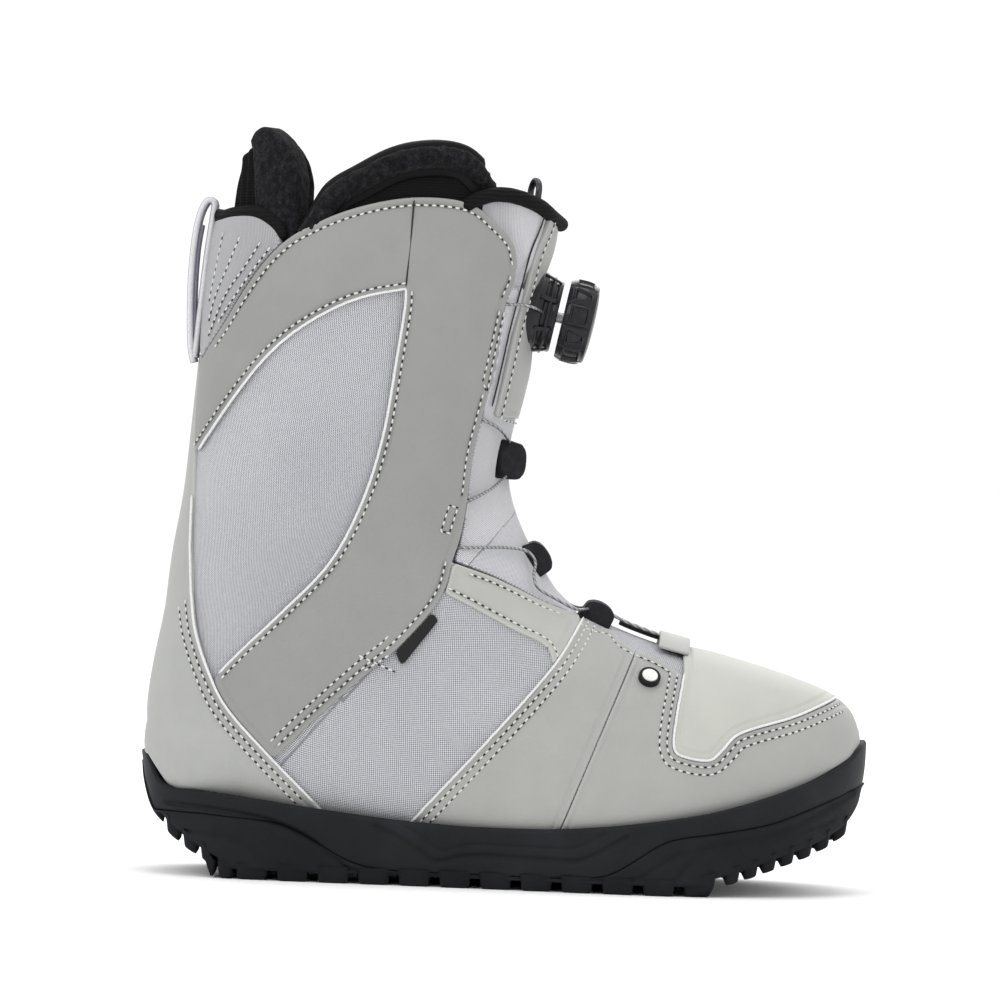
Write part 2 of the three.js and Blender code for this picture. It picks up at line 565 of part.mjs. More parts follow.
function buildOverlays() {
  const heel = sideCut(heelRegion).add(rearCut(rearStrip, -160, -100));
  place('heel_counter', overlayLayer.intersect(heel).subtract(
    sideCut([[-60, -20], [-60, 60], [200, 60], [200, -20]])), grey);
  const heelRoom = sideCut(grow(heelRegion, GAP)).add(rearCut(grow(rearStrip, GAP), -160, -100));
  const cuff = overlayLayer.intersect(sideCut(cuffOutline)).subtract(heelRoom).subtract(laceBore);
  const cuffRoom = sideCut(grow(cuffWhole, GAP));
  const forefootRoom = sideCut(grow(forefootRegion, GAP));
  const instep = overlayLayer.intersect(sideCut(instepRegion)).subtract(cuffRoom)
    .subtract(forefootRoom).subtract(laceBore);
  const forefoot = overlayLayer.intersect(sideCut(forefootRegion)).subtract(laceBore);
  const tagOutline = [[-46, 95], [-41.6, 86.7], [-28.7, 104.8], [-34, 110]];
  const tag = layer(-0.5, -OVERLAY).intersect(sideCut(tagOutline, ...LATERAL)).subtract(cuffRoom);
  for (const [name, span] of [['lateral', LATERAL], ['medial', MEDIAL]]) {
    const half = sideCut(EVERYWHERE, ...span);
    place(`cuff_overlay_${name}`, cuff.intersect(half), grey);
    place(`instep_overlay_${name}`, instep.intersect(half), grey);
    place(`forefoot_overlay_${name}`, forefoot.intersect(half), grey);
  }
  place('label_tag', tag, blackTextile);
  const toe = overlayLayer.intersect(sideCut(toeRegion)).subtract(forefootRoom);
  place('toe_overlay', toe.subtract(sideCut(grow(vampRegion, GAP))), grey);
  place('vamp_panel', overlayLayer.intersect(sideCut(vampRegion)), grey);
  const patch = overlayLayer.intersect(sideCut(collarPatchRegion)).subtract(cuffRoom)
    .subtract(heelRoom);
  place('collar_patch', patch, textileGrey);
}

function buildBadge() {
  const [x, z] = [55.4, 84.4];
  const seat = onSurface(x, z, -1);
  const out = onSurface(x, z, 1).sub(seat).normalize();
  const stud = new THREE.CylinderGeometry(4.1, 4.3, 6.6, 20);
  stud.applyQuaternion(new THREE.Quaternion().setFromUnitVectors(new THREE.Vector3(0, 1, 0), out));
  stud.translate(seat.x, seat.y, seat.z);
  place('badge_stud', solidOf(stud).subtract(form(0.3)), blackPlastic);
}

// The bound edge of the rear collar, from one notch round the back to the other.
function buildCollarBinding() {
  const half = smooth(COLLAR_REAR, 8).filter(([x]) => x > -122.6).reverse()
    .map(([x, z]) => onSurface(x, z + 2.0, -2.6));
  half.push(new THREE.Vector3(-121.8, -4.0, 262.2));
  const other = half.map((p) => new THREE.Vector3(p.x, -p.y, p.z)).reverse();
  place('collar_binding', tube([...half, ...other], 3.6, 20).subtract(
    layer(2, SHELL_INNER - GAP).subtract(sideCut(grow(aboveCollar, -1.6)))), blackTextile);
}

const LOOP_HALF = 7;                    // half the width of the heel loop's webbing

// Webbing grab loop down the back seam: two runs of tape joined by a fold at the top.
function buildHeelLoop() {
  const outside = [
    [-128.6, 203.5], [-128.0, 214.0], [-127.0, 232.0], [-125.7, 246.0], [-124.4, 262.0],
    [-122.4, 267.0], [-124.3, 268.9], [-126.8, 269.2], [-129.4, 266.6], [-131.2, 258.0],
    [-132.6, 232.0], [-132.4, 214.0], [-131.0, 203.5],
  ];
  const fingerRoom = [
    [-129.8, 207.5], [-129.7, 214.0], [-128.9, 232.0], [-127.6, 246.0], [-126.4, 258.0],
    [-125.2, 264.6], [-125.4, 267.0], [-127.0, 266.6], [-129.0, 257.0], [-130.9, 232.0],
    [-130.8, 214.0],
  ];
  const loop = sideCut(outside, -LOOP_HALF, LOOP_HALF).subtract(sideCut(fingerRoom));
  place('heel_pull_loop', loop.subtract(form(GAP)), webbing);
}

// ---------------------------------------------------------------- tongue
const TONGUE_EDGE = 1.2;                // half the room between the tongue and each flap
const throatInset = grow(throat, -TONGUE_EDGE);
const GUSSET_FRONT = 12;                // the gussets start this far from the centre line
const gussetOutline = [
  ...FLAP_EDGE.map(([x, z]) => [x + 3.5, z]), ...FLAP_EDGE.map(([x, z]) => [x - 13, z]).reverse(),
  [-17, 262], [-6, 266], [1, 262],
];
const aboveTongue = [[-60, 268.9], ...TONGUE_TOP, [60, 255], [60, 330], [-60, 330]];

function buildTongue() {
  const side = sideCut(throatInset).subtract(sideCut(aboveTongue))
    .subtract(sideCut([[26.4, 60], [80, 60], [80, 330], [26.4, 330]]));
  const plateOutline = [
    [8.7, 258.5], [5.0, 250.1], [1.9, 236.5], [-2.0, 219.8], [-5.3, 202.5], [-8.8, 185.5],
    [40, 181.5], [40, 258.5],
  ];
  const plate = layer(0, -OVERLAY).intersect(side).intersect(sideCut(plateOutline))
    .subtract(laceBore);
  place('tongue_plate', plate, grey);
  const half = [[-0.4, 273.0], [4.5, 271.6], [9.2, 269.6], [12.6, 267.2]]
    .map(([x, z]) => onSurface(x, z, -2.9));
  half.push(new THREE.Vector3(12.2, -5.0, 266.0));
  const other = half.map((p) => new THREE.Vector3(p.x, -p.y, p.z)).reverse();
  place('tongue_binding', tube([...half, ...other], 4.6, 20), blackTextile);
  const shell = layer(SHELL_OUTER, SHELL_INNER).intersect(side).subtract(laceBore)
    .subtract(tube([...half, ...other], 5.6, 20));
  place('tongue_shell', shell, textileGrey);
  const gusset = layer(GUSSET_OUTER, GUSSET_INNER).intersect(sideCut(gussetOutline));
  const lateralHalf = sideCut(EVERYWHERE, -SIDE, -GUSSET_FRONT);
  const medialHalf = sideCut(EVERYWHERE, GUSSET_FRONT, SIDE);
  place('tongue_gusset_lateral', gusset.intersect(lateralHalf), textileGrey);
  place('tongue_gusset_medial', gusset.intersect(medialHalf), textileGrey);
}

// ---------------------------------------------------------------- lace guides
// A rounded block that straddles the tongue, with grooves where the lace turns.
function guideBlock(x, z, lean, height, reach, width) {
  const shape = new THREE.Shape();
  const [h, r, c] = [height / 2, reach, 2.2];
  shape.moveTo(-8, -h);
  shape.lineTo(r - c, -h);
  shape.quadraticCurveTo(r, -h, r, -h + c);
  shape.lineTo(r, h - c);
  shape.quadraticCurveTo(r, h, r - c, h);
  shape.lineTo(-8, h);
  const block = new THREE.ExtrudeGeometry(shape, {
    depth: width, bevelEnabled: false, curveSegments: 3,
  });
  block.rotateX(Math.PI / 2).translate(0, width / 2, 0).rotateY(lean).translate(x, 0, z);
  return solidOf(block);
}

function buildGuides() {
  const bore = laceHalves(GUIDE_BORE, BORE_STEPS, BORE_SIDES);
  const seat = form(GAP);
  const upper = guideBlock(-1.4, 168.2, 0.05, 14.5, 5.2, 30);
  place('guide_upper', upper.subtract(seat).subtract(bore), blackPlastic);
  const middle = guideBlock(9.6, 129.6, -0.62, 13.5, 5.0, 26);
  place('guide_middle', middle.subtract(seat).subtract(bore), blackPlastic);
  const throatGuide = guideBlock(34.6, 107.6, -1.12, 12.5, 5.4, 24);
  place('guide_throat', throatGuide.subtract(seat).subtract(bore), blackPlastic);
}

const STRAP_TOP = 1.9;                  // how far the throat strap and the toe loop stand proud
const LOOP_TOP = 5.4;

function buildToeLoop() {
  const bore = laceHalves(GUIDE_BORE, BORE_STEPS, BORE_SIDES);
  const strapSide = [[43.2, 80], [43.2, 130], [58.6, 130], [58.6, 80]];
  const loopSide = [[59.6, 84], [59.6, 130], [70.4, 130], [70.4, 84]];
  const seat = GAP + 0.2;
  place('throat_strap', layer(STRAP_TOP, seat).intersect(sideCut(strapSide, -2.6, 4.4))
    .subtract(bore), blackTextile);
  place('toe_loop', layer(LOOP_TOP, seat).intersect(sideCut(loopSide, -17, 21))
    .subtract(bore), blackTextile);
}

// ---------------------------------------------------------------- dial
function onDialAxis(geometry) {
  return geometry.rotateZ(-Math.PI / 2).rotateY(DIAL_TILT).translate(...DIAL_SEAT);
}

function turned(profile, segments = 22) {
  const onAxis = profile[0][0] === 0;
  const closed = onAxis ? profile : [...profile, profile[0]];
  const points = closed.map(([r, s]) => new THREE.Vector2(r, s));
  return solidOf(onDialAxis(new THREE.LatheGeometry(points, segments)));
}

const LACE_PORT = 3;                    // cross hole through the housing for the lace
const KNOB_RADIUS = 16.8;
const GRIP_LUGS = 12;

function buildDial() {
  const housing = turned([
    [0, -8], [17.5, -8], [17.5, 0.4], [16.2, 2.6], [14.4, 9], [11.6, 9], [11.6, 2], [0, 2],
  ]);
  const port = solidOf(
    new THREE.CylinderGeometry(LACE_PORT / 2, LACE_PORT / 2, 60, 10).translate(8.8, 0, 227.3));
  const wayOut = laceHalves(GUIDE_BORE, BORE_STEPS, BORE_SIDES);
  place('dial_base', housing.subtract(form(0.3)).subtract(port).subtract(wayOut), blackPlastic);
  place('dial_axle', turned(
    [[0, 2.3], [2.2, 2.3], [2.2, 17.8], [3.6, 17.8], [3.6, 19], [0, 19]], 20), steel);
  place('dial_spool', turned([
    [2.6, 2.6], [9.8, 2.6], [9.8, 3.4], [7, 3.4], [7, 7.4], [9.8, 7.4], [9.8, 8.2], [2.6, 8.2],
  ]), blackPlastic);
  place('dial_carrier', turned([[2.6, 12.2], [5, 12.2], [5, 17.4], [2.6, 17.4]], 24), blackPlastic);
  place('dial_drive_ring', turned([[5.4, 11.8], [10.6, 11.8], [10.6, 14.6], [5.4, 14.6]], 24), steel);
  place('dial_knob', turned([
    [0, 22.4], [5.4, 22.4], [5.4, 15], [11, 15], [11, 12.4], [14.6, 12.4], [14.6, 22.4],
    [12.4, 23.8], [0, 24.4],
  ]), blackPlastic);
  let grip = turned([[15, 12.8], [KNOB_RADIUS, 13.6], [KNOB_RADIUS, 21.2], [15, 22.8]], 24);
  for (let i = 0; i < GRIP_LUGS; i += 1) {
    const notch = new THREE.BoxGeometry(1.4, 20, 1.8).translate(KNOB_RADIUS, 17, 0);
    grip = grip.subtract(solidOf(onDialAxis(notch.rotateY((2 * Math.PI * i) / GRIP_LUGS))));
  }
  place('dial_grip', grip, blackRubber);
}

// ---------------------------------------------------------------- liner
const LINER_SPLIT = 120;                // height where the bootie meets the cuff
const LINER_REAR = -90.5;               // where the heel collar meets the side cuffs
const LINER_TOE = 58;                   // where the toe piece of the bootie begins
const LINER_BASE = LINER_INSET + 4;     // top of the sewn-in base, above the underside of the form
const TONGUE_ROOM = 2.6;                // between the liner tongue and the liner's front edges

const linerThroat = [
  [60, 108], [60, 330], [-14, 330], [-10, 262], [-6.5, 247],
  ...smooth(FLAP_EDGE, 10).slice(1).map(([x, z]) => [x - 5, z]), [-29, 108],
];

function buildLiner() {
  const foot = cavity(LINER_INSET, 4);
  const throatRoom = sideCut(grow(throat, 16)).add(sideCut(grow(gussetOutline, 3)))
    .intersect(form(0)).subtract(form(LINER_FRONT_OUTER));
  const body = form(LINER_OUTER).subtract(foot).subtract(throatRoom)
    .subtract(sideCut(belowUpper));
  const low = sideCut([[-200, -20], [200, -20], [200, LINER_SPLIT], [-200, LINER_SPLIT]]);
  const high = sideCut([[-200, LINER_SPLIT + GAP], [200, LINER_SPLIT + GAP], [200, 320],
    [-200, 320]]);
  const bootie = body.intersect(low);
  const baseSide = [...STATIONS.slice(1, 16).map(([, , x, z]) => [x, z + LINER_BASE]),
    [-160, 48], [-160, -10], [160, -10], [160, 60]];
  place('liner_base', bootie.intersect(sideCut(baseSide)), blackTextile);
  const walls = bootie.subtract(sideCut(grow(baseSide, GAP)));
  const toeSide = [[LINER_TOE, 0], [160, 0], [160, 130], [LINER_TOE, 130]];
  place('liner_toe', walls.intersect(sideCut(toeSide)), blackTextile);
  const sides = walls.subtract(sideCut(grow(toeSide, GAP)));
  place('liner_side_lateral', sides.intersect(sideCut(EVERYWHERE, ...LATERAL)), blackTextile);
  place('liner_side_medial', sides.intersect(sideCut(EVERYWHERE, ...MEDIAL)), blackTextile);
  const sideTop = [...smooth(LINER_SIDE_TOP, 20), [60, 262], [60, 330], [-96, 330], [-96, 254]];
  const cuffs = body.intersect(high).subtract(sideCut(linerThroat)).subtract(sideCut(sideTop))
    .subtract(sideCut([[-200, 0], [LINER_REAR, 0], [LINER_REAR, 330], [-200, 330]]));
  for (const [name, span] of [['lateral', LATERAL], ['medial', MEDIAL]]) {
    const half = sideCut(EVERYWHERE, ...span);
    place(`liner_cuff_${name}`, cuffs.intersect(half), blackTextile);
  }
  const heelTop = [[-160, 262], ...smooth(LINER_HEEL_TOP, 16), [-80, 262], [-80, 330], [-160, 330]];
  const heel = body.intersect(high).subtract(sideCut(heelTop))
    .intersect(sideCut([[-200, 0], [LINER_REAR - GAP, 0], [LINER_REAR - GAP, 330], [-200, 330]]));
  place('liner_heel_collar', heel, blackTextile);
  const tongueTop = [[-60, 264], [14, 264], [60, 250], [60, 330], [-60, 330]];
  const tongue = form(LINER_FRONT_OUTER).subtract(foot).intersect(high)
    .intersect(sideCut(grow(linerThroat, -TONGUE_ROOM))).subtract(sideCut(tongueTop))
    .subtract(pullRoom());
  place('liner_tongue', tongue, blackTextile);
  const bedFloor = STATIONS.slice(5, 16).map(([, , x, z]) => [x, z + LINER_INSET + 4.5]);
  const bed = cavity(LINER_INSET + GAP, 4)
    .intersect(sideCut([[160, 60], ...bedFloor, [-140, 44], [-140, 0], [160, 0]]));
  place('footbed', bed, boardBrown);
}

const PULL_LEAN = new THREE.Vector3(0.1, 0, 1).normalize();
const PULL_SEAT = [-2.4, 0, 216];

function alongPull(geometry) {
  const turn = new THREE.Quaternion().setFromUnitVectors(new THREE.Vector3(0, 0, 1), PULL_LEAN);
  return solidOf(geometry.applyQuaternion(turn).translate(...PULL_SEAT));
}

// Room that the pull cord and its lock take out of the liner tongue.
function pullRoom() {
  const cord = new THREE.BoxGeometry(8, 3.2, 90).translate(2.6, 0, 34);
  const lock = new THREE.BoxGeometry(8, 13, 15).translate(2.6, 0, 2);
  return alongPull(cord).add(alongPull(lock));
}

// The liner's own lacing: a pull handle, its cord and the lock that the cord slides through.
function buildLinerPull() {
  const cord = new THREE.CylinderGeometry(0.75, 0.75, 58, 8).rotateX(Math.PI / 2);
  place('liner_pull_cord', alongPull(cord.translate(0, 0, 22.5)), blackTextile);
  const ring = new THREE.Shape();
  ring.absarc(0, 7, 6, 0, Math.PI, false);
  ring.lineTo(-6, 0);
  ring.lineTo(6, 0);
  const hole = new THREE.Path();
  hole.absarc(0, 7, 3.4, 0, Math.PI, false);
  hole.lineTo(-3.4, 4);
  hole.lineTo(3.4, 4);
  ring.holes.push(hole);
  const handle = new THREE.ExtrudeGeometry(ring, {
    depth: 2.2, bevelEnabled: false, curveSegments: 8,
  });
  handle.rotateX(Math.PI / 2).rotateZ(Math.PI / 2).translate(-1.1, 0, 52);
  place('liner_pull_handle', alongPull(handle), blackPlastic);
  const lock = new THREE.BoxGeometry(2.4, 12, 14).translate(0, 0, 2);
  const bore = new THREE.BoxGeometry(2.1, 2.6, 40).translate(-0.2, 0, 0);
  place('liner_cord_lock', alongPull(lock).subtract(alongPull(bore)), blackPlastic);
}

buildSole();
buildShell();
buildSleeves();
buildOverlays();
buildBadge();
buildCollarBinding();
buildHeelLoop();
buildTongue();
buildGuides();
buildToeLoop();
buildDial();
buildLiner();
buildLinerPull();
place('lace', laceHalves(LACE, LACE_STEPS, 8), steel);

boot.position.set(-FOOTPRINT_CENTRE[0], -FOOTPRINT_CENTRE[1], 0);

export default boot;
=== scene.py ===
import math

import bpy
import numpy as np
from mathutils import Matrix, Vector


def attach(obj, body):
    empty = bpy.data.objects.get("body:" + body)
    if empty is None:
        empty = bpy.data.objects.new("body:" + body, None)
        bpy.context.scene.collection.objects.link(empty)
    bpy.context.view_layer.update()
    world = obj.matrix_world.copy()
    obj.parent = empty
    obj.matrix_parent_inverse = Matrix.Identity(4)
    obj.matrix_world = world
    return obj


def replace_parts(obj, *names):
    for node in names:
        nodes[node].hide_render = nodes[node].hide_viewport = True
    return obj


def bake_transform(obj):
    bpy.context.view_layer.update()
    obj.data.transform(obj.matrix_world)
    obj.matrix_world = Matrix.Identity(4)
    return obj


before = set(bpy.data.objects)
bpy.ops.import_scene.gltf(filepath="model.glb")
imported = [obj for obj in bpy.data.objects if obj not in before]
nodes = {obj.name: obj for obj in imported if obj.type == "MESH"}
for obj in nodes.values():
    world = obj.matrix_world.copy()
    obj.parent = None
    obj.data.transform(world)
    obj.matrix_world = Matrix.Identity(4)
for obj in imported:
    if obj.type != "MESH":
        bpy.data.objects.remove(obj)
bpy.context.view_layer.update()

# ---------------------------------------------------------------- studio
# The boot stands on a plain pale floor in soft studio light. A long lens looks square at its
# outer side and is turned a little, so that the sole slopes down towards the toe.
VIEW_CENTRE = Vector((-0.0054, -0.0028, 0.1524))
VIEW_WIDTH = 0.400
VIEW_DISTANCE = 2.6
VIEW_DOWN = math.radians(0.8)
VIEW_ROLL = math.radians(2.05)
SENSOR = 36.0


def place_camera():
    lens = bpy.data.cameras.new("camera")
    lens.sensor_width = SENSOR
    lens.lens = SENSOR * VIEW_DISTANCE / VIEW_WIDTH
    camera = bpy.data.objects.new("camera", lens)
    bpy.context.scene.collection.objects.link(camera)
    back = Vector((0, -math.cos(VIEW_DOWN), math.sin(VIEW_DOWN)))
    level = Vector((1, 0, 0))
    upright = back.cross(level)
    right = level * math.cos(VIEW_ROLL) + upright * math.sin(VIEW_ROLL)
    up = upright * math.cos(VIEW_ROLL) - level * math.sin(VIEW_ROLL)
    turn = Matrix((right, up, back)).transposed().to_4x4()
    camera.matrix_world = Matrix.Translation(VIEW_CENTRE + back * VIEW_DISTANCE) @ turn
    bpy.context.scene.camera = camera


def softbox(name, place, size, power):
    lamp = bpy.data.lights.new(name, "AREA")
    lamp.shape = "RECTANGLE"
    lamp.size, lamp.size_y = size
    lamp.energy = power
    thing = bpy.data.objects.new(name, lamp)
    thing.location = place
    aim = VIEW_CENTRE - Vector(place)
    thing.rotation_euler = aim.to_track_quat("-Z", "Y").to_euler()
    bpy.context.scene.collection.objects.link(thing)


place_camera()
softbox("key_light", (-1.1, -1.5, 1.5), (1.0, 1.0), 9)
softbox("fill_light", (1.4, -1.6, 0.9), (1.4, 1.4), 3)
softbox("top_light", (0.0, 0.1, 1.8), (1.2, 1.2), 9)
softbox("back_light", (0.3, 1.7, 1.1), (1.4, 1.0), 8)
world = bpy.data.worlds.new("studio")
world.use_nodes = True
world.node_tree.nodes["Background"].inputs["Color"].default_value = (1, 1, 1, 1)
world.node_tree.nodes["Background"].inputs["Strength"].default_value = 1.06
bpy.context.scene.world = world
bpy.context.scene.view_settings.view_transform = "Standard"


# ---------------------------------------------------------------- rubber sole
# The midsole is a moulded rubber cup, glued round the bottom of the upper. Two outsole pieces
# of harder rubber with separate tread lugs are moulded on below its parting line.
MM = 0.001
CENTRE_X, CENTRE_Y = -0.5, 2.77         # footprint centre, as the part's source has it
TOE_TURN = 7.0                          # how far the toe turns towards the inner side
SOLE_TOP = [
    (-150.0, 50.0), (-142.8, 46.5), (-138.3, 38.4), (-132.0, 34.8), (-119.0, 34.3),
    (-103.7, 32.8), (-76.8, 29.6), (-49.0, 26.6), (-30.6, 25.2), (-9.4, 24.4), (22.6, 25.0),
    (54.5, 28.5), (86.3, 34.4), (118.0, 44.8), (135.6, 53.7), (141.5, 59.0), (150.0, 66.0),
]
SOLE_PARTING = [
    (-150.0, 25.1), (-122.7, 25.0), (-111.0, 24.4), (-91.8, 23.0), (-80.2, 19.3),
    (-68.6, 12.9), (-59.2, 8.4), (-47.5, 6.0), (-24.7, 5.5), (2.1, 5.3), (26.5, 5.5),
    (38.9, 6.6), (46.0, 9.4), (55.0, 15.3), (62.0, 19.8), (69.9, 22.6), (86.5, 25.2),
    (106.1, 29.1), (125.9, 36.5), (150.0, 46.0),
]
SOLE_BOTTOM = [
    (-150.0, 52.0), (-146.0, 43.8), (-144.4, 36.2), (-140.9, 26.3), (-136.9, 21.0),
    (-129.9, 14.4), (-119.6, 7.9), (-110.3, 3.2), (-101.0, 0.0), (69.0, 0.0), (79.5, 2.2),
    (95.3, 6.9), (109.1, 11.8), (123.0, 17.1), (134.8, 23.6), (141.3, 31.6), (144.1, 41.7),
    (150.0, 55.0),
]
SOLE_PLAN = [
    (-145.5, 0.0), (-143.0, 14.0), (-137.0, 25.5), (-126.0, 35.5), (-110.0, 42.0),
    (-85.0, 45.5), (-50.0, 47.0), (-10.0, 49.5), (25.0, 53.5), (55.0, 56.8), (80.0, 56.5),
    (102.0, 51.5), (121.0, 42.0), (134.5, 28.5), (142.0, 14.0), (144.5, 0.0),
]
# Moulded grooves in the side wall, each a side-view line: points, half width, depth.
SIDE_GROOVES = [
    ([(-133, 28.5), (-112, 26.8), (-92, 23.6), (-77, 17.6), (-66, 9.6), (-56, 4.6),
      (-26, 4.2)], 0.9, 1.1),
    ([(-130, 17.9), (-118.4, 17.1), (-106.8, 15.2), (-99.8, 11.7), (-95, 6.9)], 0.8, 0.9),
    ([(-50.9, 23), (-41.2, 18.9), (-31.8, 13.1), (-25.7, 10), (-11.6, 12.9), (20.3, 12.5),
      (31.3, 12.9), (43.2, 19.5), (48.7, 22.7)], 0.9, 1.0),
    ([(-44, 26), (-33, 20.5), (-24, 14.6), (-12, 17.4), (18, 17.2), (29, 18), (40, 24)], 0.6, 0.5),
    ([(-30, 4.6), (26, 5.2), (50, 5.8), (57, 8.5), (66, 14.8), (81.3, 19.7), (104, 22.4),
      (131, 30.4)], 0.8, 0.9),
    ([(69.2, 7.3), (75.4, 14.8), (81.3, 19.7), (96.4, 22.2), (112.9, 27.4), (126, 33.9),
      (138.9, 41)], 1.0, 1.2),
]
LUG_PITCH = 16.0
LUG_GROOVE = 4.6
LUG_DEPTH = 4.2
FIRST_LUG, LAST_LUG = -140.0, 140.0
SMALL_PITCH, SMALL_GROOVE = 7.2, 2.3    # closer lugs where the tread curves up at both ends
OUTSOLE_SPLIT = -2.0
CHANNEL = (14.5, 19.5)                  # the lengthwise tread channels, either side of the middle
TREAD_DROP = 0.35                       # the tread between the lugs lies below the wall's foot


def row_frame(points):
    """Design millimetres, as the part's source has them, to metres in the row frame."""
    points = np.asarray(points, float).reshape(-1, 3)
    return (points - np.array([CENTRE_X, CENTRE_Y, 0.0])) * MM


def inward(x):
    t = np.clip((np.asarray(x, float) - 10.0) / 130.0, 0, 1)
    return TOE_TURN * t * t * (3 - 2 * t)


def through(points, s):
    """The smooth curve through the given points at places s, counted in points from the first."""
    p = np.vstack([2 * points[0] - points[1], points, 2 * points[-1] - points[-2]])
    i = np.minimum(s.astype(int), len(points) - 2)
    f = (s - i)[..., None]
    a, b, c, d = p[i], p[i + 1], p[i + 2], p[i + 3]
    return 0.5 * (2 * b + (c - a) * f + (2 * a - 5 * b + 4 * c - d) * f**2
                  + (3 * b - a - 3 * c + d) * f**3)


def spline(points, count):
    """A smooth line through the given points, count points long."""
    points = np.asarray(points, float)
    return through(points, np.linspace(0, len(points) - 1, count))


def evenly(line, step):
    """The same line in equal steps of about the given length."""
    line = np.asarray(line, float)
    run = np.concatenate([[0], np.cumsum(np.linalg.norm(np.diff(line, axis=0), axis=1))])
    places = np.linspace(0, run[-1], max(2, int(round(run[-1] / step)) + 1))
    return np.stack([np.interp(places, run, line[:, k]) for k in range(line.shape[1])], 1)


def unit(v):
    return v / np.maximum(np.linalg.norm(v, axis=-1, keepdims=True), 1e-9)


def line_distance(line, x, z):
    """Distance in the side view from points to an open line."""
    line = np.asarray(line, float)
    best = np.full(np.shape(x), 1e9)
    for (ax, az), (bx, bz) in zip(line[:-1], line[1:]):
        length = max((bx - ax) ** 2 + (bz - az) ** 2, 1e-9)
        t = np.clip(((x - ax) * (bx - ax) + (z - az) * (bz - az)) / length, 0, 1)
        best = np.minimum(best, np.hypot(x - ax - t * (bx - ax), z - az - t * (bz - az)))
    return best


class Wire:
    """One output of a material's nodes, so that sums of patterns read as plain sums."""

    def __init__(self, finish, socket):
        self.finish, self.socket = finish, socket

    def maths(self, operation, *values):
        named = dict(enumerate(values))
        return self.finish.node("ShaderNodeMath", {"operation": operation}, named)

    def __add__(self, other):
        return self.maths("ADD", self, other)

    def __mul__(self, other):
        return self.maths("MULTIPLY", self, other)

    def __sub__(self, other):
        return self.maths("SUBTRACT", self, other)

    def __rsub__(self, other):
        return self.maths("SUBTRACT", other, self)

    def __pow__(self, other):
        return self.maths("POWER", self, other)

    def __abs__(self):
        return self.maths("ABSOLUTE", self)

    def sin(self):
        return self.maths("SINE", self)

    def near(self, value, width):
        """1 where this is the value, falling to 0 at the given width from it."""
        gap = self.maths("DIVIDE", abs(self - value), width)
        return self.maths("MAXIMUM", 1 - gap, 0.0)

    __radd__ = __add__
    __rmul__ = __mul__


DARK = 0.03                             # colours below this keep only a weak mirror gloss
DARK_SPECULAR, USUAL_SPECULAR = 0.13, 0.5


class Finish:
    """A material: fixed values on the shader, and patterns wired into it."""

    def __init__(self, name, colour, roughness, metallic=0.0, coat=0.0, sheen=0.0):
        dark = max(colour) < DARK
        self.material = bpy.data.materials.new(name)
        self.material.use_nodes = True
        self.tree = self.material.node_tree
        self.shader = self.tree.nodes["Principled BSDF"]
        fixed = {"Base Color": (*colour, 1), "Roughness": roughness, "Metallic": metallic,
                 "Coat Weight": coat, "Sheen Weight": sheen,
                 "Specular IOR Level": DARK_SPECULAR if dark else USUAL_SPECULAR}
        for key, value in fixed.items():
            self.shader.inputs[key].default_value = value

    def plug(self, socket, value):
        if isinstance(value, Wire):
            self.tree.links.new(value.socket, socket)
        elif isinstance(value, tuple) and len(value) == 3 and socket.type == "RGBA":
            socket.default_value = (*value, 1)
        else:
            socket.default_value = value

    def node(self, kind, settings=None, sockets=None, output=0):
        node = self.tree.nodes.new(kind)
        for key, value in (settings or {}).items():
            setattr(node, key, value)
        for key, value in (sockets or {}).items():
            self.plug(node.inputs[key], value)
        return Wire(self, node.outputs[output])

    def place(self):
        return self.node("ShaderNodeTexCoord", output="Object")

    def noise(self, scale, detail=3.0):
        sockets = {"Vector": self.place(), "Scale": scale, "Detail": detail}
        return self.node("ShaderNodeTexNoise", None, sockets)

    def cells(self, scale):
        sockets = {"Vector": self.place(), "Scale": scale}
        return self.node("ShaderNodeTexVoronoi", {"feature": "F1"}, sockets)

    def measure(self, name, output="Fac"):
        """A measure that the mesh carries, such as the distance from a panel's edge."""
        return self.node("ShaderNodeAttribute", {"attribute_name": name}, None, output)

    def mix(self, amount, first, second):
        settings = {"data_type": "RGBA"}
        return self.node("ShaderNodeMix", settings, {0: amount, 6: first, 7: second}, 2)

    def paint(self, colour):
        self.plug(self.shader.inputs["Base Color"], colour)
        return self

    def dull(self, roughness):
        self.plug(self.shader.inputs["Roughness"], roughness)
        return self

    def emboss(self, height, depth):
        """Relief: height runs from 0 to 1 over a depth in metres."""
        bump = self.node("ShaderNodeBump", None, {"Height": height, "Distance": depth})
        self.plug(self.shader.inputs["Normal"], bump)
        return self


def shade(colour, factor):
    return tuple(min(1.0, c * factor) for c in colour)


def rubber(name, colour, roughness):
    """Moulded rubber: a fine spark-eroded texture, with a little pale scuffing and dust."""
    finish = Finish(name, colour, roughness)
    grain = finish.noise(2200, 2.0)
    dust = finish.noise(38, 6.0) ** 3.0
    finish.paint(finish.mix(dust * 1.6, shade(colour, 0.85), shade(colour, 2.3)))
    finish.dull(grain * 0.2 + roughness - 0.1)
    return finish.emboss(grain, 0.00022).material


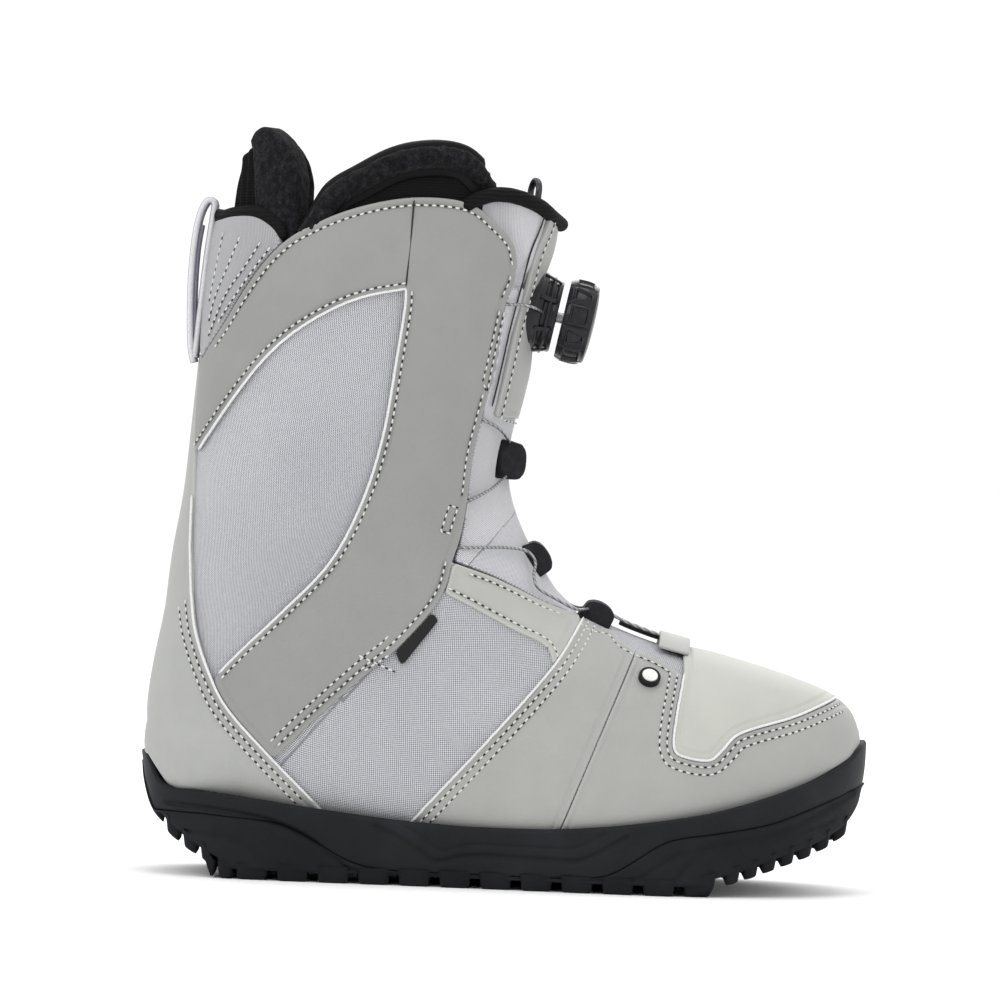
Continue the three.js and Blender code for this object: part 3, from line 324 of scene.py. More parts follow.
def piece(name, points, faces, finishes, finish_of=None, measures=None, body="boot"):
    """A mesh from design millimetres and faces, riding on a body with its finish."""
    mesh = bpy.data.meshes.new(name)
    mesh.from_pydata(row_frame(points).tolist(), [], [tuple(map(int, f)) for f in faces])
    finishes = finishes if isinstance(finishes, list) else [finishes]
    for finish in finishes:
        mesh.materials.append(finish)
    if finish_of is not None:
        mesh.polygons.foreach_set("material_index", np.asarray(finish_of, np.int32))
    mesh.polygons.foreach_set("use_smooth", [True] * len(mesh.polygons))
    for key, values in (measures or {}).items():
        values = np.asarray(values, np.float32)
        kind = "FLOAT" if values.ndim == 1 else "FLOAT_VECTOR"
        layer = mesh.attributes.new(key, kind, "POINT")
        layer.data.foreach_set("value" if kind == "FLOAT" else "vector", values.ravel())
    mesh.validate()
    mesh.update()
    thing = bpy.data.objects.new(name, mesh)
    bpy.context.scene.collection.objects.link(thing)
    if body:
        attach(thing, body)
    return thing


def lattice(rows, columns, flip=False):
    """Four-sided faces over closed rings of points, ring by ring."""
    faces = []
    for i in range(rows - 1):
        for j in range(columns):
            k = (j + 1) % columns
            face = (i * columns + j, i * columns + k, (i + 1) * columns + k, (i + 1) * columns + j)
            faces.append(face[::-1] if flip else face)
    return faces


def gathered(parts):
    """Several meshes as one list of points and faces, with the number of each face's part."""
    points, faces, which, count = [], [], [], 0
    for number, (p, f) in enumerate(parts):
        points.append(p)
        faces += [[i + count for i in face] for face in f]
        which += [number] * len(f)
        count += len(p)
    return np.vstack(points), faces, which


def sole_outline(step):
    half = evenly(spline(SOLE_PLAN, 200), step)
    outer = np.stack([half[:, 0], -half[:, 1] + inward(half[:, 0])], 1)
    inner = np.stack([half[1:-1, 0], half[1:-1, 1] + inward(half[1:-1, 0])], 1)[::-1]
    return np.vstack([outer, inner])


def height_on(line, x, fineness=300):
    curve = spline(line, fineness)
    return np.interp(x, curve[:, 0], curve[:, 1])


WALL = sole_outline(1.3)
WALL_OUT = unit(np.stack([np.roll(WALL[:, 1], -1) - np.roll(WALL[:, 1], 1),
                          np.roll(WALL[:, 0], 1) - np.roll(WALL[:, 0], -1)], 1))
WALL_TOP = height_on(SOLE_TOP, WALL[:, 0])
WALL_PARTING = np.maximum(height_on(SOLE_PARTING, WALL[:, 0]), 0)
WALL_BOTTOM = np.maximum(height_on(SOLE_BOTTOM, WALL[:, 0]), 0)
WALL_PARTING = np.clip(WALL_PARTING, WALL_BOTTOM + 1.5, WALL_TOP - 1.5)
GROOVE_LINES = [(spline(line, 60), half, depth) for line, half, depth in SIDE_GROOVES]


def carve(x, z):
    """How deep the moulded grooves go at a side-view point of the wall."""
    depth = np.zeros(np.shape(x))
    for line, half, deep in GROOVE_LINES:
        near = np.clip(1 - line_distance(line, x, z) / (half * 1.9), 0, 1)
        depth = np.maximum(depth, deep * near * near * (3 - 2 * near))
    return depth


def wall_rings(low, high, rows, lean):
    """Rings of points up the sole's side wall, with its grooves; lean(k) is the wall's own
    profile from 0 at the bottom to 1 at the top."""
    rings = []
    for k in np.linspace(0, 1, rows):
        z = low + (high - low) * k
        out = lean(k) - carve(WALL[:, 0], z)
        place = WALL + WALL_OUT * out[:, None]
        rings.append(np.column_stack([place, z]))
    return rings


def shrunk(ring, inwards, z):
    return np.column_stack([ring[:, :2] - WALL_OUT * inwards, np.broadcast_to(z, len(ring))])


black_rubber = rubber("black_rubber", (0.0080, 0.0084, 0.0100), 0.62)
black_foam = rubber("midsole_rubber", (0.0095, 0.0100, 0.0120), 0.56)


def make_midsole():
    lip = WALL_TOP - 0.4
    rings = wall_rings(WALL_PARTING + 0.35, lip, 40,
                       lambda k: -0.9 * (1 - k) ** 3 - 0.5 * max(0.0, k - 0.93) / 0.07)
    top = rings[-1]
    for inwards, rise in ((0.7, 0.35), (1.6, 0.3), (2.3, -0.8), (3.0, -9.0), (12.0, -12.0)):
        rings.append(shrunk(top, inwards, lip + rise))
    bottom = rings[0]
    for inwards in (0.7, 8.0):
        rings.insert(0, shrunk(bottom, inwards, bottom[:, 2] - 0.25))
    faces = lattice(len(rings), len(WALL))
    return piece("midsole_cup", np.vstack(rings), faces, black_foam)


def make_outsole(name, front):
    base = np.minimum(WALL_BOTTOM + LUG_DEPTH, WALL_PARTING - 0.4)
    rings = wall_rings(base, WALL_PARTING, 14,
                       lambda k: -0.5 * (1 - k) - 0.35 * max(0, k - 0.8) / 0.2)
    low = rings[0]
    for inwards in (1.4, 8.0, 20.0, 34.0):
        rings.insert(0, shrunk(low, inwards, low[:, 2] - TREAD_DROP))
    rings.append(shrunk(rings[-1], 7.0, WALL_PARTING))
    points = np.vstack(rings)
    faces = lattice(len(rings), len(WALL))
    middle = points[np.array(faces)].mean(1)[:, 0]
    kept = middle > OUTSOLE_SPLIT if front else middle <= OUTSOLE_SPLIT
    faces = [f for f, keep in zip(faces, kept) if keep]
    parts = [(points, faces)]
    first = OUTSOLE_SPLIT if front else FIRST_LUG - 1
    last = (LAST_LUG if front else OUTSOLE_SPLIT) - 1
    for x, x1 in tread_rows():
        if first <= x < last:
            parts += [lug(x, x1, *span) for span in lug_spans(x, x1)]
    points, faces, _ = gathered(parts)
    return piece(name, points, faces, black_rubber)


def tread_rows():
    """The rows of lugs from heel to toe, each from its rear edge to its front edge."""
    rows = []
    for start, stop, pitch, groove in ((FIRST_LUG, -105, SMALL_PITCH, SMALL_GROOVE),
                                       (-104.0, 86, LUG_PITCH, LUG_GROOVE),
                                       (88.0, LAST_LUG - 4, SMALL_PITCH, SMALL_GROOVE)):
        rows += [(x, x + pitch - groove) for x in np.arange(start, stop, pitch)]
    return rows


def lug_spans(x, x1):
    """Across the sole, each row of tread has two edge lugs and one in the middle."""
    half = min(float(height_on(SOLE_PLAN, end, 200)) for end in (x, x1)) - 0.6
    spans = [(-half, -CHANNEL[1]), (-CHANNEL[0], CHANNEL[0]), (CHANNEL[1], half)]
    return [(a, b) for a, b in spans if b - a > 6]


LUG_TAPER = 0.9
LUG_ROUND = 1.1
LUG_BEND = -2.0                         # the middle lugs are bent a little, like a chevron
EDGE_LUG = 20.0                         # a lug further than this off the middle is an edge lug


def lug(x0, x1, y0, y1):
    """One tread lug: a tapered block with rounded corners, its foot in the tread."""
    shift = float(inward(0.5 * (x0 + x1)))
    bend = 0.0 if abs(y0 + y1) > EDGE_LUG else LUG_BEND
    corners = []
    for level, grow in ((LUG_DEPTH + 2.4, LUG_TAPER), (0.8, 0.0), (0.22, -0.3), (0.0, -0.9)):
        a, b, c, d = x0 - grow, x1 + grow, y0 - grow, y1 + grow
        for x, y in ((a + LUG_ROUND, c), (b - LUG_ROUND, c), (b, c + LUG_ROUND),
                     (b + bend, 0.5 * (c + d)), (b, d - LUG_ROUND), (b - LUG_ROUND, d),
                     (a + LUG_ROUND, d), (a, d - LUG_ROUND), (a + bend, 0.5 * (c + d)),
                     (a, c + LUG_ROUND)):
            ground = max(float(height_on(SOLE_BOTTOM, np.clip(x, -145, 143.5))), 0.0)
            corners.append((x, y + shift, ground + level))
    around = len(corners) // 4
    sides = lattice(4, around, flip=True)
    sides.append(list(range(3 * around, 4 * around))[::-1])
    return corners, sides


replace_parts(make_midsole(), "midsole")
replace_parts(make_outsole("outsole_heel_tread", False), "outsole_heel")
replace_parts(make_outsole("outsole_forefoot_tread", True), "outsole_forefoot")


# ---------------------------------------------------------------- textile shell
# The upper is sewn from a thick woven nylon round a last. Its three panels, the toe box and the
# outer and inner quarters, lie under the leather overlays and show in the windows between them.
STATIONS = np.array([
    [142.0, 60.5, 142.2, 56.0, 3.5, 0.55, 2.2, 2.4],
    [140.8, 66.0, 140.6, 50.5, 12.0, 0.60, 2.2, 2.8],
    [137.0, 73.5, 135.5, 46.0, 23.0, 0.62, 2.2, 3.4],
    [129.0, 79.5, 126.5, 40.5, 33.0, 0.65, 2.2, 4.0],
    [114.0, 84.8, 111.0, 34.5, 42.5, 0.68, 2.2, 4.6],
    [98.0, 89.5, 94.5, 29.5, 48.0, 0.70, 2.2, 5.0],
    [81.0, 94.0, 76.0, 25.0, 51.5, 0.72, 2.1, 5.0],
    [63.0, 98.0, 56.0, 21.5, 53.0, 0.74, 2.1, 5.0],
    [46.0, 103.4, 36.0, 18.8, 52.0, 0.75, 2.1, 5.0],
    [30.0, 110.6, 14.0, 17.2, 49.5, 0.75, 2.1, 5.0],
    [20.0, 117.6, -8.0, 17.0, 47.0, 0.75, 2.1, 5.0],
    [13.5, 126.0, -32.0, 17.8, 45.0, 0.75, 2.1, 4.8],
    [8.0, 135.0, -56.0, 19.5, 43.8, 0.74, 2.1, 4.6],
    [3.8, 144.0, -82.0, 22.5, 43.0, 0.73, 2.1, 4.4],
    [1.0, 152.0, -107.0, 26.5, 42.5, 0.71, 2.1, 4.0],
    [-0.8, 160.0, -127.0, 33.0, 42.3, 0.66, 2.1, 3.4],
    [-1.6, 168.0, -139.5, 45.0, 42.3, 0.60, 2.1, 2.8],
    [-1.2, 176.0, -143.3, 61.0, 42.6, 0.56, 2.1, 2.5],
    [0.2, 184.0, -142.0, 82.0, 43.2, 0.54, 2.1, 2.3],
    [2.2, 194.0, -138.0, 106.0, 44.2, 0.52, 2.1, 2.2],
    [4.3, 205.0, -135.0, 130.0, 45.6, 0.51, 2.1, 2.2],
    [5.0, 217.0, -132.0, 152.0, 47.4, 0.50, 2.1, 2.2],
    [6.0, 229.0, -130.0, 176.0, 49.4, 0.50, 2.1, 2.2],
    [8.6, 241.0, -128.6, 200.0, 51.2, 0.50, 2.1, 2.2],
    [12.2, 253.0, -127.0, 224.0, 52.8, 0.50, 2.1, 2.2],
    [14.0, 265.0, -125.2, 246.0, 54.0, 0.50, 2.1, 2.2],
    [15.5, 280.0, -123.0, 270.0, 55.0, 0.50, 2.1, 2.2],
    [17.5, 302.0, -120.5, 302.0, 56.0, 0.50, 2.1, 2.2],
])
CUFF_TOP = [
    (-126.7, 204.9), (-118.0, 218.1), (-111.6, 229.5), (-103.6, 241.6), (-95.5, 250.4),
    (-87.3, 256.2), (-73.5, 262.9), (-59.7, 267.4), (-46.2, 270.0), (-33.8, 270.5),
    (-24.5, 269.5), (-18.3, 267.3), (-11.5, 261.9), (-4.4, 254.7), (-2.0, 247.0),
]
FLAP_EDGE = [
    (-2.0, 247.0), (-2.9, 238.6), (-5.9, 230.0), (-9.3, 205.7), (-14.1, 184.1),
    (-17.2, 169.6), (-18.6, 153.2), (-20.6, 138.5), (-23.7, 127.8),
]
CUFF_FRONT_BAND = [
    (-23.7, 127.8), (-26.4, 116.7), (-32.5, 106.5), (-44.6, 92.6), (-52.1, 86.0), (-63.0, 76.0),
    (-78.0, 61.5), (-92.0, 47.0), (-118.5, 20.0),
]
WINDOW_FRONT = [
    (-45.7, 234.6), (-45.8, 227.0), (-48.4, 206.7), (-52.8, 176.0), (-60.4, 149.3),
    (-72.0, 125.8), (-89.6, 106.2), (-105.0, 90.6), (-118.5, 76.0),
]
WINDOW_TOP = [
    (-126.0, 168.5), (-119.0, 179.6), (-111.0, 191.5), (-99.9, 205.9), (-87.9, 217.0),
    (-73.0, 226.3), (-60.8, 231.3), (-45.7, 234.6),
]
HEEL_PIPING = [
    (-126.6, 112.1), (-124.1, 96.6), (-118.0, 80.4), (-110.1, 66.6), (-93.1, 48.8),
    (-74.0, 30.3), (-66.0, 20.0),
]
INSTEP_TOP = [(-23.7, 127.8), (-8.2, 122.8), (1.1, 118.9), (14.2, 112.9), (27.7, 108.4)]
FRONT_PIPING = [
    (28.8, 107.0), (19.9, 91.3), (8.2, 76.2), (-12.4, 52.2), (-30.7, 31.5), (-42.0, 18.0),
]
COLLAR_REAR = [
    (-134.0, 259.0), (-123.5, 259.7), (-115.5, 261.2), (-106.5, 260.9), (-99.0, 256.5),
    (-95.5, 250.9),
]
FAR = 400.0                             # well outside the boot, to close a side-view outline
SHELL_DEPTH = 1.7                       # how far the textile lies below the overlays' faces
SHELL_THICK = 2.4
OVERLAY = 1.6                           # thickness of a leather panel
GAP = 0.4                               # between the edges of neighbouring panels
ROWS_PER_STATION = 15
AROUND = 344
FOOT_STATIONS = 17                      # those from the toe to the back of the heel


def stations_at(t):
    """Cross-section numbers at a fractional station, on a smooth line through the stations."""
    return through(STATIONS, np.clip(np.asarray(t, float), 0, len(STATIONS) - 1))


def form_point(t, turn, inset=0.0):
    """A point of the boot's outer form; turn is 0 at the front, a quarter at the outer side."""
    fx, fz, bx, bz, half, widest, front_full, back_full = np.moveaxis(stations_at(t), -1, 0)
    length = np.hypot(bx - fx, bz - fz)
    c, s = np.cos(turn), np.sin(turn)
    full = np.where(c >= 0, front_full, back_full)
    reach = (np.abs(c) ** full + np.abs(s) ** full) ** (-1 / full)
    level = np.where(c >= 0, widest * (1 - reach * c), widest - (1 - widest) * reach * c)
    along = inset + level * (length - 2 * inset)
    x = fx + (bx - fx) / length * along
    z = fz + (bz - fz) / length * along
    y = -(half - inset) * reach * s + inward(x)
    return np.stack(np.broadcast_arrays(x, y, z), -1)


def form_normal(t, turn):
    h = 0.02
    ahead = form_point(t + h, turn) - form_point(np.asarray(t) - h, turn)
    left = form_point(t, turn + h) - form_point(t, turn - h)
    return unit(np.cross(ahead, left))


ROWS = (len(STATIONS) - 1) * ROWS_PER_STATION + 1
GRID_T, GRID_TURN = np.meshgrid(np.linspace(0.02, len(STATIONS) - 1, ROWS),
                                np.linspace(0, 2 * math.pi, AROUND, endpoint=False), indexing="ij")
GRID = form_point(GRID_T, GRID_TURN)
GRID_OUT = form_normal(GRID_T, GRID_TURN)
GX, GY, GZ = GRID[..., 0], GRID[..., 1], GRID[..., 2]
MIDDLE = inward(GX)
INSTEP_STATION, LEG_STATION = 9, 20


def cloth_lines():
    """Run of the cloth over the form: millimetres around it and up it, kept square at the
    middle of each window, so that a weave stays even there."""
    around = np.linalg.norm(np.diff(GRID, axis=1, append=GRID[:, :1]), axis=2)
    u = np.cumsum(around, axis=1) - around
    u = u - u[:, AROUND // 4][:, None]
    v = np.cumsum(np.linalg.norm(np.diff(GRID, axis=0, prepend=GRID[:1]), axis=2), axis=0)
    lower = np.clip((-(GX + 60) * 0.75 + (GZ - 78) * 0.66) / 8 + 0.5, 0, 1) < 0.5
    leg = v - v[LEG_STATION * ROWS_PER_STATION][None, :]
    foot = v - v[INSTEP_STATION * ROWS_PER_STATION][None, :]
    return u, np.where(lower, foot, leg)


CLOTH_U, CLOTH_V = cloth_lines()


def region(outline):
    """Signed side-view distance of every point of the form to a closed outline: above 0 inside."""
    p = np.asarray(outline, float)
    best = line_distance([*p, p[0]], GX, GZ)
    inside = np.zeros(GX.shape, bool)
    for (ax, az), (bx, bz) in zip(p, np.roll(p, -1, axis=0)):
        crosses = (az > GZ) != (bz > GZ)
        rise = bz - az if abs(bz - az) > 1e-9 else 1e-9
        inside ^= crosses & (GX < ax + (GZ - az) / rise * (bx - ax))
    return np.where(inside, best, -best)


def clip_grid(field):
    """Cells of the form where the field is above 0, cut along the line where it is 0.
    Gives pairs of grid points with a share for each new point, and its faces."""
    flat = field.ravel()
    inside = flat > 0
    i, j = np.meshgrid(np.arange(ROWS - 1), np.arange(AROUND), indexing="ij")
    k = (j + 1) % AROUND
    quads = np.stack([i * AROUND + j, i * AROUND + k, (i + 1) * AROUND + k, (i + 1) * AROUND + j],
                     -1).reshape(-1, 4)
    quads = quads[:, ::-1]
    count = inside[quads].sum(1)
    index, first, second, share, faces = {}, [], [], [], []

    def point(a, b=None):
        key = (a, a) if b is None else (min(a, b), max(a, b))
        if key not in index:
            index[key] = len(first)
            first.append(key[0])
            second.append(key[1])
            gap = flat[key[1]] - flat[key[0]]
            share.append(0.0 if b is None else min(1.0, max(0.0, -flat[key[0]] / gap)))
        return index[key]

    for quad in quads[count == 4].tolist():
        faces.append([point(c) for c in quad])
    for quad in quads[(count > 0) & (count < 4)].tolist():
        face = []
        for a, b in zip(quad, quad[1:] + quad[:1]):
            if inside[a]:
                face.append(point(a))
            if inside[a] != inside[b]:
                face.append(point(a, b))
        if len(face) > 2:
            faces.append(face)
    return np.array(first), np.array(second), np.array(share), faces


def boundary_of(faces):
    """Directed edges that only one face has."""
    edges = {}
    for face in faces:
        for a, b in zip(face, face[1:] + face[:1]):
            edges[(a, b)] = True
    return [(a, b) for a, b in edges if (b, a) not in edges]


ROUND_STEPS = 4


def panel(name, field, finish, top=0.0, thick=OVERLAY, round_=0.7, raise_by=None, body="boot",
          inner=False):
    """A sewn panel: the form where the field is above 0, lifted to its height, with rounded edges
    that turn down to its back. inner also closes the back, for padded pieces seen inside."""
    first, second, share, faces = clip_grid(field - round_)
    w = share[:, None]

    def carried(values):
        values = values.reshape(ROWS * AROUND, -1)
        return values[first] * (1 - w) + values[second] * w

    base, out = carried(GRID), unit(carried(GRID_OUT))
    lift = carried(raise_by)[:, 0] if raise_by is not None else np.zeros(len(base))
    edge = carried(field)[:, 0]
    cloth = np.column_stack([carried(CLOTH_U), carried(CLOTH_V), np.zeros(len(base))])
    points = [base + out * (top + lift)[:, None]]
    edges, cloths = [edge], [cloth]
    border = boundary_of(faces)
    rim = sorted({a for a, _ in border})
    slot_of = {a: n for n, a in enumerate(rim)}
    rim = np.array(rim)
    sideways = np.zeros((len(base), 3))
    for a, b in border:
        across = np.cross(base[b] - base[a], out[a] + out[b])
        sideways[a] += across
        sideways[b] += across
    sideways = unit(sideways[rim])
    profile = [(round_ * math.sin(q), round_ * (1 - math.cos(q)))
               for q in np.linspace(0, math.pi / 2, ROUND_STEPS)[1:]]
    if inner:
        profile += [(round_, thick - round_)] + [
            (round_ * math.cos(q), thick - round_ + round_ * math.sin(q))
            for q in np.linspace(0, math.pi / 2, ROUND_STEPS)[1:]]
    else:
        profile.append((round_, thick))
    count = len(base)
    before = {a: a for a in slot_of}
    for outwards, down in profile:
        height = (top + lift[rim] - down)[:, None]
        points.append(base[rim] + sideways * outwards + out[rim] * height)
        edges.append(np.full(len(rim), max(0.0, round_ - outwards)))
        cloths.append(cloth[rim])
        now = {a: count + n for a, n in slot_of.items()}
        faces += [[before[b], before[a], now[a], now[b]] for a, b in border]
        before = now
        count += len(rim)
    if inner:
        back = base + out * (top + lift - thick)[:, None]
        skin = len(faces) - len(border) * len(profile)
        loose = [n for n in range(len(base)) if n not in before]
        at = {**before, **{n: count + k for k, n in enumerate(loose)}}
        faces += [[at[a] for a in face[::-1]] for face in faces[:skin]]
        points.append(back[loose])
        edges.append(edge[loose])
        cloths.append(cloth[loose])
    measures = {"edge": np.concatenate(edges), "cloth": np.vstack(cloths)}
    return piece(name, np.vstack(points), faces, finish, measures=measures, body=body)


BIAS = 0.62                             # slant of the threads across the cloth


def weave(name, light, dark, pitch, relief):
    """Woven cloth: threads over and under one another on the bias, each a little different; the dark
    colour is painted shade where a thread passes under.
    """
    finish = Finish(name, light, 0.85, sheen=0.25)
    u = finish.node("ShaderNodeSeparateXYZ", None, {0: finish.measure("cloth", "Vector")})
    v = Wire(finish, u.socket.node.outputs[1])
    turn = 2 * math.pi / pitch
    warp = ((u + v * BIAS) * turn).sin()
    weft = ((u * BIAS - v) * turn).sin()
    over = warp * weft
    height = over * 0.5 + 0.5
    fuzz = finish.noise(900, 2.0)
    patchy = finish.noise(14, 3.0)
    # Painted shade: a thread takes the dark colour where it dips under the crossing one; fuzz and
    # patchiness are the cloth's own tone.
    amount = over * 0.8 + fuzz * 0.3 + patchy * 0.35 + 0.2
    finish.paint(finish.mix(amount, dark, light))
    finish.emboss(height + fuzz * 0.3, relief)
    return finish.material


# The second colour of each weave is painted shade on the threads where they pass under.
window_cloth = weave("pale_nylon", (0.68, 0.685, 0.715), (0.16, 0.16, 0.185), 1.3, 0.00035)
patch_cloth = weave("patch_cloth", (0.41, 0.41, 0.42), (0.20, 0.20, 0.21), 1.1, 0.0002)
lateral = MIDDLE - GY                   # above 0 on the outer side of the boot
medial = GY - MIDDLE
cuff_front_line = spline(CUFF_FRONT_BAND, 40)
flap_line = spline(FLAP_EDGE, 40)
instep_top_line = spline(INSTEP_TOP, 20)
cuff_top_line = spline(CUFF_TOP, 70)
collar_line = spline(COLLAR_REAR, 30)
throat_outline = [(60, 108.4), (60, FAR), (6, FAR), (6, 247), *flap_line, *instep_top_line[1:]]
throat = region(throat_outline)
cuff_rim_line = cuff_top_line[cuff_top_line[:, 0] > -94]
above_collar = region([(-FAR, 258.7), *(collar_line - (0, 1)), *(cuff_rim_line - (0, 1)),
                       (6, 247), (6, FAR), (-FAR, FAR)])
feather_line = STATIONS[:FOOT_STATIONS, 2:4] + (0, 2.6)
below_upper = region([(160, 58), *feather_line, (-160, 50), (-160, -20), (160, -20)])
TOE_SEAM = [(28.4, FAR), (28.4, 108), (12, -20), (FAR, -20), (FAR, FAR)]
toe_seam = region(TOE_SEAM)


def both(*fields):
    """Where all the fields are above 0."""
    return np.minimum.reduce(fields)


shell = both(-throat, -above_collar, -below_upper)
SIDES = (("lateral", lateral, 1), ("medial", medial, -1))
MID_SEAM = 0.1                          # half the cut between the two sides of a mirrored panel
PANEL_SAG = 0.5                         # cloth lies a little lower in the middle of a window


def make_shell():
    sag = -PANEL_SAG * np.sin(GX / 17.0) * np.cos(GZ / 23.0)
    for name, node, field in (
            ("toe_box_cloth", "toe_box", both(shell, toe_seam)),
            *(("quarter_cloth_" + side, "quarter_" + side,
               both(shell, -toe_seam - GAP, half - MID_SEAM)) for side, half, _ in SIDES)):
        cloth = panel(name, field, window_cloth, -SHELL_DEPTH, SHELL_THICK, 0.3, sag)
        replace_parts(cloth, node)


make_shell()


# ---------------------------------------------------------------- leather overlays
# Die-cut panels of coated microfibre, matt and very finely grained, sewn over the textile shell.
# Their raw edges are rounded and edge-painted, with a painted highlight a shade lighter than their
# faces.
INSTEP_LOW = [
    (-36.0, 119.6), (-17.7, 111.6), (1.1, 102.3), (12.3, 97.4), (16.4, 92.8), (17.6, 84.0),
]
SIDE_SEAM = [(50.1, 95.6), (36.0, 60.7), (19.0, 16.0)]
VAMP_EDGE = [(27.7, 108.4), (32.1, 104.6), (40.0, 103.0), (44.5, 98.6), (50.1, 95.6)]
TOE_FLAP_EDGE = [(50.1, 95.6), (59.5, 92.1), (69.4, 86.4)]
TOE_PIPING = [
    (69.4, 86.4), (66.4, 68.5), (65.9, 58.3), (69.3, 55.0), (79.8, 53.6), (85.0, 57.8),
    (89.9, 63.2), (97.7, 66.5), (113.8, 71.2), (131.4, 78.3),
]
BACKSTAY = [(9.0, 206.5), (10.5, 187.0), (15.0, 170.0), (19.0, 153.0), (22.5, 134.0), (27.5, 111.0)]
STAY_FOOT, STAY_TOP, STAY_BEHIND = 100, 206.5, -100
CUFF_SEAM = [(-43.7, 269.4), (-44.6, 252.0), (-45.8, 235.5)]


def leather(name, colour):
    """Coated microfibre: soft mottling, a fine pebble, a groove where it is stitched near its
    edge, and a painted highlight that makes its edges lighter."""
    finish = Finish(name, colour, 0.5)
    edge = finish.measure("edge")
    mottle = finish.noise(22, 4.0)
    cloud = finish.noise(95, 3.0)
    pebble = finish.cells(1500)
    # Painted highlight: the colour is lightened within about a millimetre of each edge.
    painted_edge_highlight = edge.near(0.0, 1.1)
    body = finish.mix(mottle * 0.6 + cloud * 0.4, shade(colour, 0.84), shade(colour, 1.14))
    finish.paint(finish.mix(painted_edge_highlight * 0.6, body, shade(colour, 1.32)))
    finish.dull(cloud * 0.16 + pebble * 0.1 + 0.40)
    sunk = edge.near(2.6, 1.3)
    finish.emboss(pebble * 0.12 + mottle * 0.25 + cloud * 0.2 - sunk * 0.7, 0.00045)
    return finish.material


cuff_grey = leather("cuff_grey_leather", (0.243, 0.247, 0.240))
instep_grey = leather("instep_grey_leather", (0.375, 0.38, 0.355))
toe_grey = leather("toe_grey_leather", (0.315, 0.319, 0.304))
vamp_grey = leather("vamp_grey_leather", (0.415, 0.42, 0.385))
heel_grey = leather("heel_grey_leather", (0.335, 0.34, 0.328))
window_front_line = spline(WINDOW_FRONT, 50)
window_top_line = spline(WINDOW_TOP, 40)
heel_line = spline(HEEL_PIPING, 40)
front_line = spline(FRONT_PIPING, 40)
side_seam_line = spline(SIDE_SEAM, 20)
vamp_edge_line = spline(VAMP_EDGE, 24)
toe_flap_line = spline(TOE_FLAP_EDGE, 12)
toe_piping_line = spline(TOE_PIPING, 70)
instep_low_line = spline(INSTEP_LOW, 30)
backstay = np.array(BACKSTAY)[::-1]
stay_half = np.interp(GZ, backstay[:, 1], backstay[:, 0])
stay = both(stay_half - abs(GY), GZ - STAY_FOOT, STAY_TOP - GZ, STAY_BEHIND - GX)
heel_area = np.maximum(region([(-FAR, 112.1), *heel_line, (-70, 0), (-FAR, 0)]), stay)
cuff_area = region([(-FAR, 204.9), *cuff_top_line, *flap_line[1:], *cuff_front_line[1:], (-FAR, 20)])
window_area = region([(-FAR, 168.5), *window_top_line, *window_front_line[1:], (-FAR, 76)])
forefoot_area = region([*front_line, (19, 4), *side_seam_line[::-1], *vamp_edge_line[::-1][1:]])
instep_area = region([*instep_top_line, (27.9, 86), *instep_low_line[::-1]])
toe_area = region([*side_seam_line, (FAR, 0), (FAR, 120), (131.4, 110), (69.4, 110), (69.4, 86.4),
                   *toe_flap_line[::-1][1:-1]])
vamp_area = region([*toe_piping_line, (FAR, 85), (FAR, 130), (69.4, 130)])


def swell(field, height, width):
    """A soft rise away from a panel's edge."""
    return height * (1 - np.exp(-np.clip(field, 0, None) / width))


def slack(scale, height):
    """Slow unevenness of a hand-lasted panel."""
    return height * (np.sin(GX / scale + GZ / (1.7 * scale)) + np.sin(GZ / (0.8 * scale) - GY / scale))


HEEL_BULGE = 5.4                        # the counter fills out the cup of the sole
BULGE_BELOW, BULGE_BEHIND, BULGE_FADE = 60, -104, 20


def make_overlays():
    creases = slack(11.0, 0.16)
    heel = both(heel_area, -below_upper)
    heel_bulge = (HEEL_BULGE * np.clip((BULGE_BELOW - GZ) / BULGE_FADE, 0, 1)
                  * np.clip((BULGE_BEHIND - GX) / BULGE_FADE, 0, 1))
    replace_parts(panel("heel_counter_leather", heel, heel_grey, 0, OVERLAY, 0.7,
                      swell(heel, 0.5, 9) + creases + heel_bulge),
                "heel_counter")
    cuff = both(cuff_area, -window_area, -heel_area - GAP, -below_upper)
    instep = both(instep_area, -cuff_area - GAP, -forefoot_area - GAP)
    forefoot = both(forefoot_area, -below_upper)
    for name, half, _ in SIDES:
        for start, whole, finish, top, thick, round_, rise in (
                ("cuff", cuff, cuff_grey, 0.2, OVERLAY + 0.3, 0.8, swell(cuff, 0.7, 10) + creases),
                ("instep", instep, instep_grey, -0.2, OVERLAY, 0.6, creases),
                ("forefoot", forefoot, toe_grey, 0, OVERLAY, 0.6, creases)):
            leathers = panel(start + "_leather_" + name, both(whole, half - MID_SEAM), finish, top,
                             thick, round_, rise)
            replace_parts(leathers, start + "_overlay_" + name)
    toe = both(toe_area, -forefoot_area - GAP, -vamp_area - GAP, -below_upper)
    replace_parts(panel("toe_leather", toe, toe_grey, 0, OVERLAY, 0.6, creases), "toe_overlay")
    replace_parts(panel("vamp_leather", vamp_area, vamp_grey, 0.1, OVERLAY, 0.7,
                      swell(vamp_area, 0.7, 7)), "vamp_panel")
    patch = both(region([(-FAR, 204.9), *cuff_top_line[:30], *collar_line[::-1], (-FAR, 259)]),
                 -cuff_area - GAP, -heel_area - GAP)
    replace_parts(panel("collar_patch_cloth", patch, patch_cloth, -0.3, OVERLAY, 0.6,
                      swell(patch, 1.2, 7)), "collar_patch")


make_overlays()


